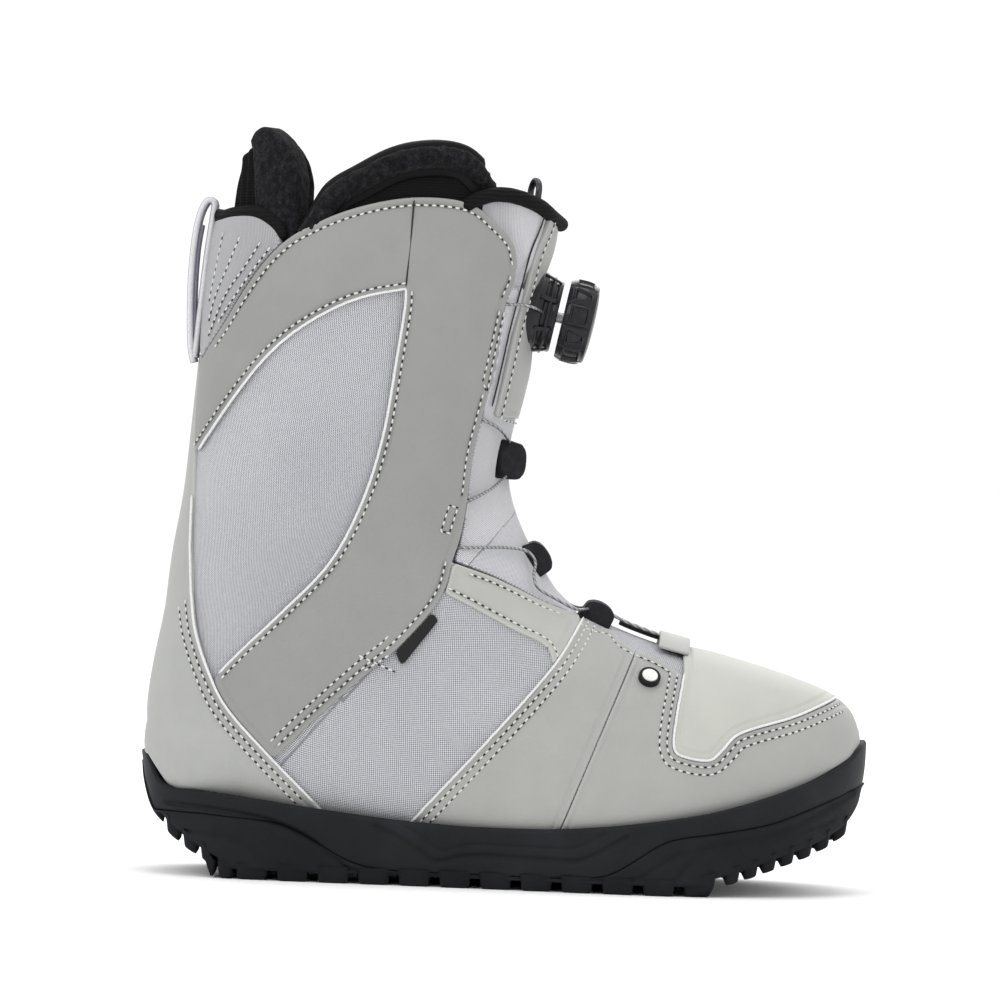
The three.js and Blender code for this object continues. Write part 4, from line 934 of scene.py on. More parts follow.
# ---------------------------------------------------------------- piping and stitching
# White folded piping is caught under the main seams. Rows of thick lock stitch, pale thread
# with sunk needle holes shown as dark dashes of painted shade, hold every overlay a few millimetres
# inside its edge.
STITCH_PITCH = 3.2
STITCH_LONG = 1.75
STITCH_FLAT = 0.8
STITCH_SUNK = (0.05, 0.16)              # how deep a stitch and a needle hole lie in the panel
HOLE_LONG = 1.35
THREAD = 0.42
PIPING = 0.55
STATION_SAMPLES = 3200


def on_form(line, side=1, lift=0.0):
    """Points and outward directions of the form where a side-view line crosses its outer side
    (side 1) or its inner side (-1)."""
    line = np.asarray(line, float)
    t = np.linspace(0, len(STATIONS) - 1, STATION_SAMPLES)
    fx, fz, bx, bz, _, widest, front_full, back_full = stations_at(t).T
    x, z = line[:, :1], line[:, 1:]
    length = np.hypot(bx - fx, bz - fz)
    across = ((x - fx) * (bz - fz) - (z - fz) * (bx - fx)) / length
    along = ((x - fx) * (bx - fx) + (z - fz) * (bz - fz)) / length**2
    miss = abs(across) + 300 * np.maximum(0, np.maximum(-along, along - 1))
    best = miss.argmin(1)
    rows = np.arange(len(line))
    level = np.clip(along[rows, best], 0.0005, 0.9995)
    wide = widest[best]
    front = level < wide
    reach = np.where(front, 1 - level / wide, (level - wide) / (1 - wide))
    full = np.where(front, front_full[best], back_full[best])
    wideness = (1 - np.clip(reach, 0, 1) ** full) ** (1 / full)
    turn = side * np.arctan2(wideness, np.where(front, reach, -reach))
    out = form_normal(t[best], turn)
    return form_point(t[best], turn) + out * lift, out


def beside(line, distance):
    """The same side-view line moved sideways: above 0 to its left."""
    line = np.asarray(line, float)
    run = unit(np.gradient(line, axis=0))
    return line + np.stack([-run[:, 1], run[:, 0]], 1) * distance


def sweep(path, section, ups=None, taper=0):
    """A closed tube of the given section (across, up) along a path; its ends narrow and close."""
    path = np.asarray(path, float)
    run = unit(np.gradient(path, axis=0))
    if ups is None:
        up = np.array([0.0, 0.0, 1.0]) if abs(run[0, 2]) < 0.9 else np.array([1.0, 0.0, 0.0])
        ups = []
        for direction in run:
            up = unit(up - direction * np.dot(up, direction))
            ups.append(up)
        ups = np.array(ups)
    ups = unit(ups - run * (ups * run).sum(1, keepdims=True))
    sides = np.cross(run, ups)
    section = np.asarray(section, float)
    count = len(section)
    scale = np.ones(len(path))
    for k in range(taper):
        scale[k] = scale[-1 - k] = math.sin(math.pi / 2 * (k + 0.6) / taper)
    rings = (path[:, None] + sides[:, None] * (section[:, 0] * scale[:, None])[..., None]
             + ups[:, None] * (section[:, 1] * scale[:, None])[..., None])
    points = np.vstack([rings.reshape(-1, 3), path[:1], path[-1:]])
    faces = lattice(len(path), count)
    last = (len(path) - 1) * count
    for j in range(count):
        k = (j + 1) % count
        faces.append((count * len(path), k, j))
        faces.append((count * len(path) + 1, last + j, last + k))
    return points, faces


def circle(radius, sides=10, flat=1.0):
    turn = np.linspace(0, 2 * math.pi, sides, endpoint=False)
    return np.stack([radius * np.cos(turn), radius * flat * np.sin(turn)], 1)


def fibre(name, colour, roughness=0.8, scale=2600, relief=0.0002, glow=0.2):
    """Twisted or knitted yarn: fine cross ridges and slight changes of shade."""
    finish = Finish(name, colour, roughness, sheen=glow)
    ridges = finish.noise(scale, 2.0)
    patches = finish.noise(60, 3.0)
    tone = finish.mix(ridges * 0.7 + patches * 0.3, shade(colour, 0.6), shade(colour, 1.35))
    finish.paint(tone)
    return finish.emboss(ridges, relief).material


pale_thread = fibre("pale_thread", (0.62, 0.62, 0.60))
# Dark thread for the seam lines, and also the painted shade of the needle holes.
dark_thread_and_hole_shade = fibre("dark_thread_and_hole_shade", (0.02, 0.02, 0.022))
piping_white = fibre("white_piping", (0.66, 0.66, 0.66), 0.6, 1500, 0.00012)


def stitch_shape(long, radius):
    rings = []
    for a, r in ((-0.5, 0.25), (-0.38, 0.75), (0.0, 1.0), (0.38, 0.75), (0.5, 0.25)):
        for q in np.linspace(0, 2 * math.pi, 6, endpoint=False):
            rings.append((a * long, r * radius * math.cos(q), r * radius * math.sin(q)))
    faces = lattice(5, 6, flip=True) + [tuple(range(6)), tuple(range(24, 30))[::-1]]
    return np.array(rings), faces


def stitches(lines, side, lift):
    """Stitches along side-view lines as one mesh with two finishes: thread, and needle holes in a dark
    colour that is painted shade.
    """
    shapes = (stitch_shape(STITCH_LONG, THREAD), stitch_shape(HOLE_LONG, THREAD * 0.95))
    parts, kinds = [], []
    for line in lines:
        path, out = on_form(evenly(line, 0.4), side, 0)
        run = np.concatenate([[0], np.cumsum(np.linalg.norm(np.diff(path, axis=0), axis=1))])
        if run[-1] < STITCH_PITCH:
            continue
        spots = np.arange(STITCH_PITCH / 2, run[-1], STITCH_PITCH / 2)
        at = np.stack([np.interp(spots, run, path[:, k]) for k in range(3)], 1)
        up = unit(np.stack([np.interp(spots, run, out[:, k]) for k in range(3)], 1))
        ahead = unit(np.stack([np.interp(spots + 0.5, run, path[:, k])
                               - np.interp(spots - 0.5, run, path[:, k]) for k in range(3)], 1))
        across = np.cross(ahead, up)
        for n in range(len(spots)):
            # Every second mark is a needle hole: a sunk dark dash of painted shade.
            hole = n % 2
            shape, faces = shapes[hole]
            height = lift - STITCH_SUNK[hole]
            place = (at[n] + up[n] * height + shape[:, :1] * ahead[n] + shape[:, 1:2] * across[n]
                     + shape[:, 2:] * up[n] * STITCH_FLAT)
            parts.append((place, faces))
            kinds.append(hole)
    points, faces, which = gathered(parts)
    return points, faces, [kinds[n] for n in which]


def sew(name, lines, side, lift=0.25, body="boot"):
    points, faces, which = stitches(lines, side, lift)
    return piece(name, points, faces, [pale_thread, dark_thread_and_hole_shade], which, body=body)


def pipe(name, line, side, radius=PIPING, lift=0.1, finish=None, body="boot"):
    path, out = on_form(evenly(line, 1.2), side, lift)
    points, faces = sweep(path, circle(radius), out, 2)
    return piece(name, points, faces, finish or piping_white, body=body)


def within(line, low=-1e9, high=1e9):
    return np.array([p for p in line if low <= p[1] <= high])


CHANNEL_ROWS = [[(-9.1, 228.3), (-12.2, 212.0), (-14.8, 198.9)],
                [(-7.2, 227.8), (-10.4, 211.0), (-12.9, 195.4)]]
FLAP_BOX = [(-22.9, 149.2), (-25.6, 138.9), (-28.9, 139.8), (-26.2, 150.1), (-22.9, 149.2)]
BAND_CROSS = [[(-60.0, 90.0), (-44.5, 83.6)], [(-57.5, 83.4), (-47.5, 90.2)]]
PATCH_ROWS = [[(-118.5, 255.5), (-121.0, 241.0), (-123.6, 227.0)],
              [(-111.5, 253.5), (-116.0, 242.0), (-121.0, 229.0), (-123.5, 219.0)],
              [(-103.0, 251.5), (-109.5, 241.0), (-117.0, 229.5), (-123.5, 213.0)],
              [(-99.0, 249.5), (-106.0, 240.0), (-113.5, 228.6), (-119.5, 219.0)]]


def sew_side(name, side):
    """Rows and piping of one side. A row's number is its distance in from its edge line."""
    flap = flap_line[3:-2]
    cuff_rows = [
        beside(cuff_top_line[2:], -3.0), beside(within(flap, 231), -3.0),
        beside(within(flap, 151, 196), -2.8), beside(cuff_front_line[:34], -2.8),
        beside(window_top_line, 2.2), beside(within(window_front_line, 80), 2.2),
        beside(cuff_front_line[14:34], -6.0), FLAP_BOX, *CHANNEL_ROWS, *BAND_CROSS,
        [row[0] for row in CHANNEL_ROWS], [row[-1] for row in CHANNEL_ROWS],
    ]
    sew("cuff_stitching_" + name, cuff_rows, side, 0.75)
    sew("instep_stitching_" + name, [beside(instep_top_line[2:-2], -2.3),
                                     beside(instep_low_line[3:], 2.3)], side, 0.0)
    sew("forefoot_stitching_" + name, [
        beside(within(front_line, 24), 2.6), beside(within(front_line, 24), 5.6),
        beside(vamp_edge_line[2:], -2.4)], side, 0.2)
    sew("toe_stitching_" + name, [
        beside(toe_piping_line, -2.6), beside(toe_piping_line, -5.6),
        beside(toe_flap_line[:-2], -2.4)], side, 0.2)
    sew("heel_stitching_" + name, [beside(within(heel_line, 34, 111), -2.6),
                                   beside(within(heel_line, 34, 108), -5.4)], side, 0.55)
    sew("collar_stitching_" + name, [spline(row, 12) for row in PATCH_ROWS], side, 0.75)
    pipe("window_piping_" + name, np.vstack([window_top_line, window_front_line[1:-2]]), side)
    pipe("heel_piping_" + name, np.vstack([[(-127.9, 150.0), (-127.8, 130.0)],
                                          within(heel_line, 30)]), side, lift=0.4)
    pipe("front_piping_" + name, within(front_line, 22), side, lift=0.3)
    pipe("toe_piping_" + name, toe_piping_line, side, lift=0.3)
    pipe("cuff_seam_" + name, CUFF_SEAM, side, 0.35, 0.62, dark_thread_and_hole_shade)


for side_name, _, side_sign in SIDES:
    sew_side(side_name, side_sign)


# ---------------------------------------------------------------- label and stud
# A folded woven tag is caught in the seam under the cuff band, and a moulded stud with a pale
# cap is riveted through the side of the toe. Both are left blank.
TAG = [(-46.4, 94.4), (-42.2, 86.2), (-28.4, 104.6), (-33.2, 110.4)]
TAG_THICK = 1.6
STUD = (55.4, 84.4)
STUD_SEAT = -0.6


def make_tag():
    field = both(region(TAG), -cuff_area - GAP, lateral)
    satin = fibre("black_satin", (0.010, 0.010, 0.011), 0.45, 3200)
    tag = panel("woven_tag", field, satin, -0.2, TAG_THICK, 0.35, swell(field, 0.5, 1.5))
    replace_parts(tag, "label_tag")


def turned(profile, sides, seat, axis, across):
    """A closed lathe shape: radius and height pairs turned about an axis from its seat."""
    axis, across = unit(np.array(axis, float)), unit(np.array(across, float))
    third = np.cross(axis, across)
    turn = np.linspace(0, 2 * math.pi, sides, endpoint=False)
    rings = [np.array(seat) + axis * s + r * (np.cos(turn)[:, None] * across
                                              + np.sin(turn)[:, None] * third) for r, s in profile]
    faces = lattice(len(profile), sides)
    faces += [tuple(range(sides))[::-1],
              tuple(range((len(profile) - 1) * sides, len(profile) * sides))]
    return np.vstack(rings), faces


def plastic(name, colour, roughness, coat=0.0, relief=0.00006):
    """Moulded nylon: very fine texture, faint smears and a few lighter scuffs."""
    finish = Finish(name, colour, roughness, coat=coat)
    smear = finish.noise(70, 4.0)
    scuff = finish.noise(420, 5.0) ** 4.0
    finish.paint(finish.mix(scuff * 2.2 + smear * 0.12, colour, shade(colour, 3.0)))
    finish.dull(smear * 0.25 + roughness - 0.1)
    return finish.emboss(finish.noise(2600, 2.0), relief).material


black_plastic = plastic("black_plastic", (0.0075, 0.0075, 0.009), 0.34)


def make_stud():
    seat, out = on_form([STUD], 1, STUD_SEAT)
    across = np.cross(out[0], (0, 0, 1))
    cup = turned([(3.9, -1), (4.35, 0.6), (4.35, 2.6), (4.15, 3.1), (3.6, 3.25), (3.3, 3.0),
                  (3.2, 2.7), (0.05, 2.7)], 40, seat[0], out[0], across)
    cap = turned([(3.15, 2.6), (3.15, 3.05), (2.95, 3.3), (2.3, 3.42), (2.1, 3.3), (1.2, 3.36),
                  (0.05, 3.4)], 40, seat[0], out[0], across)
    points, faces, which = gathered([cup, cap])
    finishes = [black_plastic, plastic("cream_cap", (0.62, 0.62, 0.58), 0.4)]
    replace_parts(piece("stud", points, faces, finishes, which), "badge_stud")


make_tag()
make_stud()


# ---------------------------------------------------------------- collar binding and heel loop
# The rear collar edge is bound with soft black knit. The grab loop is one length of pale
# webbing, folded over at the top and sewn down the back seam at both ends.
LOOP_OUTER = [
    (-130.0, 203.0), (-131.3, 209.0), (-132.0, 220.0), (-132.2, 234.0), (-131.6, 248.0),
    (-130.4, 258.0), (-128.6, 264.6), (-126.4, 267.8), (-123.9, 267.0), (-124.2, 262.0),
    (-125.9, 248.0), (-127.2, 234.0), (-128.6, 218.0), (-129.8, 205.0),
]
# A darker strip of painted shade fills the gap between the loop's two layers of webbing.
LOOP_SHADE_STRIP = [(-129.9, 208), (-130.2, 220), (-130.3, 234), (-129.7, 248), (-128.4, 258)]
LOOP_HALF = 6.8
LOOP_THICK, SHADE_STRIP_THICK, LOOP_EDGE = 2.8, 1.1, 1.1
COLLAR_DEPTH, COLLAR_CORD = -2.3, 2.0   # the binding's cord lies in the edge of the collar


def ribbed(name, colour, pitch=0.0016, relief=0.0004):
    """Rib-knit trim: rounded cords side by side, softened by loose fibre; painted highlights on the
    cords and stray fibres, painted shade between the cords.
    """
    finish = Finish(name, colour, 0.85)
    wave = finish.node("ShaderNodeTexWave", {"bands_direction": "Z"},
                       {"Vector": finish.place(), "Scale": 0.31 / pitch, "Distortion": 1.2,
                        "Detail": 2.0, "Detail Scale": 2.0})
    fuzz = finish.noise(1800, 2.0)
    # Painted light and shade: lighter on the cords' crowns and loose fibre, darker in the grooves
    # between cords.
    finish.paint(finish.mix(wave * 0.5 + fuzz * 0.5, shade(colour, 0.45), shade(colour, 1.9)))
    return finish.emboss(wave + fuzz * 0.6, relief).material


black_knit = ribbed("black_knit", (0.0045, 0.0045, 0.005))
pull_webbing = fibre("pale_webbing", (0.30, 0.29, 0.35), 0.8, 1500, 0.0004)
# Painted shade: a darker copy of the webbing, for the inside of the loop.
painted_loop_shade = fibre("painted_loop_shade", (0.21, 0.20, 0.27), 0.85, 1300, 0.0004)
webbing_edge = fibre("webbing_edge", (0.62, 0.62, 0.64), 0.8, 1500, 0.0003)


def mirrored(half):
    """A line from one side to the middle, carried on to the other side."""
    half = np.asarray(half, float)
    other = half[:-1][::-1] * (1, -1, 1)
    return np.vstack([half, other])


def make_collar_binding():
    edge = collar_line[collar_line[:, 0] > -122.6][::-1] + (0, 1.6)
    half, _ = on_form(evenly(edge, 1.5), 1, COLLAR_DEPTH)
    half = np.vstack([half, [(-122.9, -4.0, 262.0)]])
    path = evenly(mirrored(half), 1.5)
    points, faces = sweep(path, circle(COLLAR_CORD, 12, 1.35), None, 2)
    binding = piece("collar_edge_binding", points, faces, black_knit)
    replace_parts(binding, "collar_binding")


def flat_section(half, thick, corner=0.5):
    """Rounded rectangle, wide across and thin."""
    points = []
    for cx, cy, start in ((half, thick / 2, 0), (-half, thick / 2, 90),
                          (-half, -thick / 2, 180), (half, -thick / 2, 270)):
        for angle in (start, start + 45, start + 90):
            q = math.radians(angle)
            points.append((cx - math.copysign(corner, cx) + corner * math.cos(q),
                           cy - math.copysign(corner, cy) + corner * math.sin(q)))
    return points


def make_heel_loop():
    line = evenly(spline(LOOP_OUTER, 120), 1.2)
    path = np.column_stack([line[:, 0], np.zeros(len(line)), line[:, 1]])
    run = unit(np.gradient(line, axis=0))
    ups = np.column_stack([-run[:, 1], np.zeros(len(line)), run[:, 0]])
    tape = sweep(path, flat_section(LOOP_HALF, LOOP_THICK, 1.0), ups)
    edges = [sweep(path + (0, y, 0), circle(LOOP_EDGE, 8), ups) for y in (-LOOP_HALF, LOOP_HALF)]
    # The strip of painted shade between the loop's layers.
    middle = evenly(spline(LOOP_SHADE_STRIP, 40), 1.5)
    lining = np.column_stack([middle[:, 0], np.zeros(len(middle)), middle[:, 1]])
    inside = sweep(lining, flat_section(LOOP_HALF - 0.6, SHADE_STRIP_THICK),
                   np.tile((1.0, 0, 0), (len(middle), 1)))
    points, faces, which = gathered([tape, inside, *edges])
    which = [min(n, 2) for n in which]
    loop = piece("heel_grab_loop", points, faces, [pull_webbing, painted_loop_shade, webbing_edge], which)
    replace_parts(loop, "heel_pull_loop")


make_collar_binding()
make_heel_loop()


# ---------------------------------------------------------------- tongue
# The shell tongue is padded textile with a leather plate under the dial and a thick knit top
# edge. It opens forwards on its foot; thin gussets join it to the quarters behind the flaps.
TONGUE_TOP = [(-18.3, 268.9), (-10.4, 270.6), (-0.2, 269.6), (8.7, 266.4), (17.0, 260.5)]
PLATE_EDGE = [(11.0, 268.0), (8.4, 259.5), (5.0, 250.1), (1.9, 236.5), (-2.0, 219.8),
              (-5.3, 202.5), (-8.8, 185.5)]
BINDING = [(-25.0, 266.4), (-17.5, 270.9), (-9.0, 273.0), (-0.5, 272.0), (7.0, 269.4),
           (12.0, 265.9)]
BINDING_FRONT = (14.2, 0.0, 263.4)
BINDING_DEPTH, BINDING_CORD = -1.9, 3.3
TONGUE_DEPTH, TONGUE_THICK = -2.2, 2.6
TONGUE_FOOT = 27.5                      # the tongue's foot ends this far forward
TONGUE_EDGE = 1.2
TONGUE_WING = [(-2.5, 238), (12, 238), (30, 250), (30, 280), (-19, 280), (-18.3, 262), (-9, 252)]
TUCK_FROM = 4.0                         # the wing passes behind the cuff's edge from here back
TUCK_DEPTH = 2.9
GUSSET_FRONT = 12.0
GUSSET_TOP, GUSSET_THICK = -7.1, 0.7


# Its second colour is painted shade on the threads where they pass under.
tongue_cloth = weave("tongue_nylon", (0.70, 0.70, 0.72), (0.34, 0.34, 0.37), 1.0, 0.00025)
plate_grey = leather("plate_grey_leather", (0.30, 0.30, 0.295))


def make_tongue():
    above = region([(-60, 268.9), *spline(TONGUE_TOP, 20), (60, 255), (60, FAR), (-60, FAR)])
    wing = region(TONGUE_WING)
    side = both(np.maximum(throat - TONGUE_EDGE, wing), -above, TONGUE_FOOT - GX)
    tucked = np.clip((TUCK_FROM + (247 - GZ) * 0.25 - GX) / 7, 0, 1) * (GZ > 236)
    puffed = (swell(side, 0.8, 6) + 0.35 * np.sin(GZ / 9.0) * np.clip(side / 8, 0, 1)
              - TUCK_DEPTH * tucked)
    shell_tongue = panel("tongue_cloth", side, tongue_cloth, TONGUE_DEPTH, TONGUE_THICK, 0.6,
                         puffed, "tongue")
    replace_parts(shell_tongue, "tongue_shell")
    plate_line = spline(PLATE_EDGE, 30)
    plate = both(region([*plate_line, (60, 181.5), (60, 268)]), side - 0.2)
    leather_plate = panel("tongue_plate_leather", plate, plate_grey, -0.2, OVERLAY, 0.6,
                          swell(plate, 0.5, 5), "tongue")
    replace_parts(leather_plate, "tongue_plate")
    for name, _, sign in SIDES:
        sew("tongue_stitching_" + name,
            [beside(plate_line, 2.2), [(-6.0, 184.4), (-2.2, 183.6), (-0.6, 183.2)]], sign, 0.2,
            "tongue")
        pipe("tongue_seam_" + name, beside(plate_line[2:-1], -1.6), sign, 0.35, -1.0, dark_thread_and_hole_shade,
             "tongue")
    half, _ = on_form(evenly(spline(BINDING, 40), 1.2), 1, BINDING_DEPTH)
    path = evenly(mirrored(np.vstack([half, [BINDING_FRONT]])), 1.3)
    points, faces = sweep(path, circle(BINDING_CORD, 14, 0.9), None, 3)
    edge = piece("tongue_edge_binding", points, faces, black_knit, body="tongue")
    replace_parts(edge, "tongue_binding")


def make_gussets():
    rear = [(x - 13, z) for x, z in FLAP_EDGE]
    outline = [*[(x + 3.5, z) for x, z in FLAP_EDGE], *rear[::-1]]
    fold = 0.15 * np.sin(GX / 1.9)
    for name, half, _ in SIDES:
        field = both(region(outline), half - GUSSET_FRONT)
        gusset = panel("gusset_cloth_" + name, field, tongue_cloth, GUSSET_TOP, GUSSET_THICK, 0.3,
                       fold, None)
        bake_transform(gusset)
        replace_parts(gusset, "tongue_gusset_" + name)


make_tongue()
make_gussets()


# ---------------------------------------------------------------- lace guides
# Moulded nylon guides are sewn to the tongue and the foot of the throat. Each is a low block
# with two cheeks, waisted where the lace turns, and a raised rib down its middle.
GUIDE_BACK = -6.5
GUIDE_WAIST = 9                         # how strongly the waists draw the front of a guide back


def make_guide(name, node, x, z, lean, tall, reach, wide, body):
    c, s = math.cos(lean), math.sin(lean)
    outwards, along = np.array([c, 0, -s]), np.array([s, 0, c])
    half = tall / 2
    profile = [(GUIDE_BACK, -half), (reach - 3.4, -half), (reach - 1.0, -half + 1.6),
               (reach, -half + 4.0), (reach + 0.25, 0), (reach, half - 4.0),
               (reach - 1.0, half - 1.6), (reach - 3.4, half), (GUIDE_BACK, half)]
    profile = spline(np.array(profile + profile[:1]), 50)[:-1]
    steps = [(-0.5, 0.90), (-0.485, 0.97), (-0.46, 1.0), (-0.40, 1.0), (-0.385, 0.9), (-0.37, 0.84),
             (-0.24, 0.82), (-0.22, 0.88), (-0.205, 0.94), (-0.07, 0.95), (-0.055, 1.0)]
    steps += [(-y, k) for y, k in steps[::-1]]
    rings = []
    for y, k in steps:
        shaped = np.column_stack([profile[:, 0] - (1 - k) * GUIDE_WAIST,
                                  profile[:, 1] * (0.55 + 0.45 * k)])
        rings.append(np.array([x, 0, z]) + shaped[:, :1] * outwards + shaped[:, 1:] * along
                     + np.array([0, y * wide, 0]))
    faces = lattice(len(rings), len(profile), flip=True)
    faces += [tuple(range(len(profile))),
              tuple(range((len(rings) - 1) * len(profile), len(rings) * len(profile)))[::-1]]
    guide = piece(name, np.vstack(rings), faces, black_plastic, body=body)
    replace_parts(guide, node)


make_guide("lace_guide_upper", "guide_upper", -1.4, 168.2, 0.05, 14.5, 5.2, 29.5, "tongue")
make_guide("lace_guide_middle", "guide_middle", 9.6, 129.6, -0.62, 13.5, 5.0, 25.5, "tongue")
make_guide("lace_guide_throat", "guide_throat", 34.6, 107.6, -1.12, 12.5, 5.4, 23.5, "boot")


# ---------------------------------------------------------------- throat strap and toe loop
# A narrow black tape ties the last guide to a folded leather loop at the foot of the throat,
# which turns the end of the lace.
LOOP_STATION = 6.87
LOOP_COVER = 1.0                        # how far the loop's lining lies below its cover
STRAP_AREA = [(43.2, 80), (43.2, 130), (59.5, 130), (59.5, 80)]


def over_throat(spread, lowered):
    """The toe loop's line across the front of the form, arched up in the middle."""
    share = np.linspace(-1, 1, 36)
    turn = -share * spread
    lift = np.array([0.9 + 2.3 * math.cos(k * math.pi / 2) ** 0.8 - lowered for k in share])
    t = np.full(len(share), LOOP_STATION)
    out = form_normal(t, turn)
    return form_point(t, turn) + out * lift[:, None], out


def make_toe_loop():
    area = both(region(STRAP_AREA), 3.5 - abs(GY - 0.9))
    tape = fibre("black_tape", (0.012, 0.012, 0.013), 0.7, 1800, 0.0003)
    strap = panel("throat_tape", area, tape, 2.0, 2.0, 0.6, None, "boot")
    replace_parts(strap, "throat_strap")
    path, ups = over_throat(0.36, 0.0)
    cover = sweep(path, flat_section(6.2, 1.1, 0.5), ups)
    path, ups = over_throat(0.34, LOOP_COVER)
    lining = sweep(path, flat_section(4.7, 0.7, 0.3), ups)
    points, faces, which = gathered([cover, lining])
    loop = piece("toe_lace_loop", points, faces, [toe_grey, black_knit], which)
    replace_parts(loop, "toe_loop")


make_toe_loop()


# ---------------------------------------------------------------- dial
# The lace dial: a flared housing sewn to the tongue plate, and a popped-out knob whose rubber
# rim has framed recesses for the fingers. Spool, drive ring, bush and axle sit inside.
DIAL_SEAT = (5.1, 0.0, 228.1)
DIAL_TILT = math.radians(11.5)
DIAL_AXIS = (math.cos(DIAL_TILT), 0.0, -math.sin(DIAL_TILT))
DIAL_UP = (math.sin(DIAL_TILT), 0.0, math.cos(DIAL_TILT))
HOUSING = [
    (17.6, -8.0), (17.9, -0.4), (17.7, 0.6), (16.6, 1.2), (16.4, 2.4), (15.9, 2.9), (15.0, 3.1),
    (14.9, 4.4), (15.6, 4.9), (15.7, 5.8), (14.2, 6.3), (14.0, 7.0), (14.5, 7.5), (14.4, 8.8),
    (13.9, 9.2), (12.2, 9.2), (11.7, 8.7), (11.6, 2.2), (0.05, 2.0),
]
HOUSING_RIBS = 8
KNOB_RIM = (12.6, 23.0)
KNOB_RADIUS = 16.4
KNOB_CELLS = 11
RIM_SIDES = 528
SKIRT = 0.9                             # the rim reaches down round the edge of the housing


def rounded_box(u, v, half_u, half_v, corner):
    """Signed distance to a rounded rectangle: below 0 inside."""
    a, b = abs(u) - half_u + corner, abs(v) - half_v + corner
    return np.minimum(np.maximum(a, b), 0) + np.hypot(np.maximum(a, 0), np.maximum(b, 0)) - corner


def rim_relief(turn, s):
    """Framed recesses round the rim: rounded windows and tapered ones by turns."""
    cell = turn / (2 * math.pi) * KNOB_CELLS
    which = np.floor(cell)
    u = (cell - which - 0.5) * 2 * math.pi * KNOB_RADIUS / KNOB_CELLS
    v = s - 0.5 * (KNOB_RIM[0] + KNOB_RIM[1])
    taper = np.where(which % 2 == 0, 1.0, 1.0 - 0.09 * (v + 4))
    d = rounded_box(u / taper, v, 3.5, 3.3, 1.0)
    frame_ridge = np.clip(1 - abs(d - 0.1) / 0.55, 0, 1)
    sunk = np.clip(-d / 0.7, 0, 1)
    gap = np.clip(1 - (abs(abs(u) - math.pi * KNOB_RADIUS / KNOB_CELLS)) / 0.5, 0, 1)
    return 0.35 * frame_ridge - 0.85 * sunk - 0.5 * gap


def make_knob():
    low, high = KNOB_RIM
    foot = low - SKIRT
    shape = [(10.9, low - 0.1), (15.45, low - 0.1), (15.55, foot + 0.1)]
    rows = [(KNOB_RADIUS + 0.3 - 1.1 * abs(2 * k - 1) ** 3, foot + (high - foot - 0.8) * k, 1.0)
            for k in np.linspace(0, 1, 44)]
    profile = [(r, s, 0.0) for r, s in shape] + rows + [
        (15.7, high - 0.2, 0.0), (15.0, high + 0.4, 0.0), (14.2, high + 0.6, 0.0),
        (13.8, high + 0.35, 0.0), (13.3, high + 0.35, 0.0), (12.8, high + 0.8, 0.0),
        (9.0, high + 1.25, 0.0), (8.6, high + 1.05, 0.0), (8.2, high + 1.3, 0.0),
        (4.0, high + 1.45, 0.0), (0.3, high + 1.5, 0.0)]
    turn = np.linspace(0, 2 * math.pi, RIM_SIDES, endpoint=False)
    up, axis = np.array(DIAL_UP), np.array(DIAL_AXIS)
    side = np.cross(axis, up)
    rings = []
    for r, s, relief in profile:
        radius = r + relief * rim_relief(turn, np.full(RIM_SIDES, s))
        rings.append(np.array(DIAL_SEAT) + axis * s + radius[:, None]
                     * (np.cos(turn)[:, None] * up + np.sin(turn)[:, None] * side))
    under = [(14.0, low - 0.05), (11.0, low), (11.0, low + 2.4), (5.4, low + 2.4),
             (5.4, high - 1.0), (0.3, high - 0.9)]
    inside, inside_faces = turned(under[::-1], 64, DIAL_SEAT, DIAL_AXIS, DIAL_UP)
    faces = lattice(len(rings), RIM_SIDES)
    faces.append(tuple(range((len(rings) - 1) * RIM_SIDES, len(rings) * RIM_SIDES)))
    inside_faces = [f[::-1] for f in inside_faces[:-2]]
    points, faces, _ = gathered([(np.vstack(rings), faces), (inside, inside_faces)])
    knob = piece("dial_knob_shell", points, faces, dial_black, body="dial_knob")
    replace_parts(knob, "dial_knob", "dial_grip")


def make_housing():
    parts = [turned(HOUSING, 120, DIAL_SEAT, DIAL_AXIS, DIAL_UP)]
    for k in range(HOUSING_RIBS):
        q = 2 * math.pi * (k + 0.5) / HOUSING_RIBS
        out = np.array(DIAL_UP) * math.cos(q) + np.cross(DIAL_AXIS, DIAL_UP) * math.sin(q)
        start = np.array(DIAL_SEAT) + out * 17.0 + np.array(DIAL_AXIS) * 0.8
        end = np.array(DIAL_SEAT) + out * 14.6 + np.array(DIAL_AXIS) * 8.2
        parts.append(sweep(np.linspace(start, end, 8), flat_section(0.9, 0.9, 0.3),
                           np.tile(out, (8, 1)), 2))
    points, faces, _ = gathered(parts)
    base = piece("dial_housing", points, faces, dial_black, body="tongue")
    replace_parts(base, "dial_base")


def brushed(name, colour):
    """Machined steel with fine turning marks."""
    finish = Finish(name, colour, 0.35, metallic=1.0)
    marks = finish.noise(3200, 2.0)
    finish.paint(finish.mix(marks, shade(colour, 0.8), shade(colour, 1.1)))
    finish.dull(marks * 0.2 + 0.25)
    return finish.emboss(marks, 0.00003).material


dial_black = plastic("dial_black", (0.0065, 0.0065, 0.008), 0.27, 0.25, 0.00004)
steel = brushed("brushed_steel", (0.42, 0.43, 0.45))
make_housing()
make_knob()


def refinish(node, finish):
    """The part's own solid is shown as it is, in its finish."""
    materials = nodes[node].data.materials
    materials.clear()
    materials.append(finish)


refinish("dial_axle", steel)
refinish("dial_drive_ring", steel)
refinish("dial_spool", black_plastic)
refinish("dial_carrier", black_plastic)


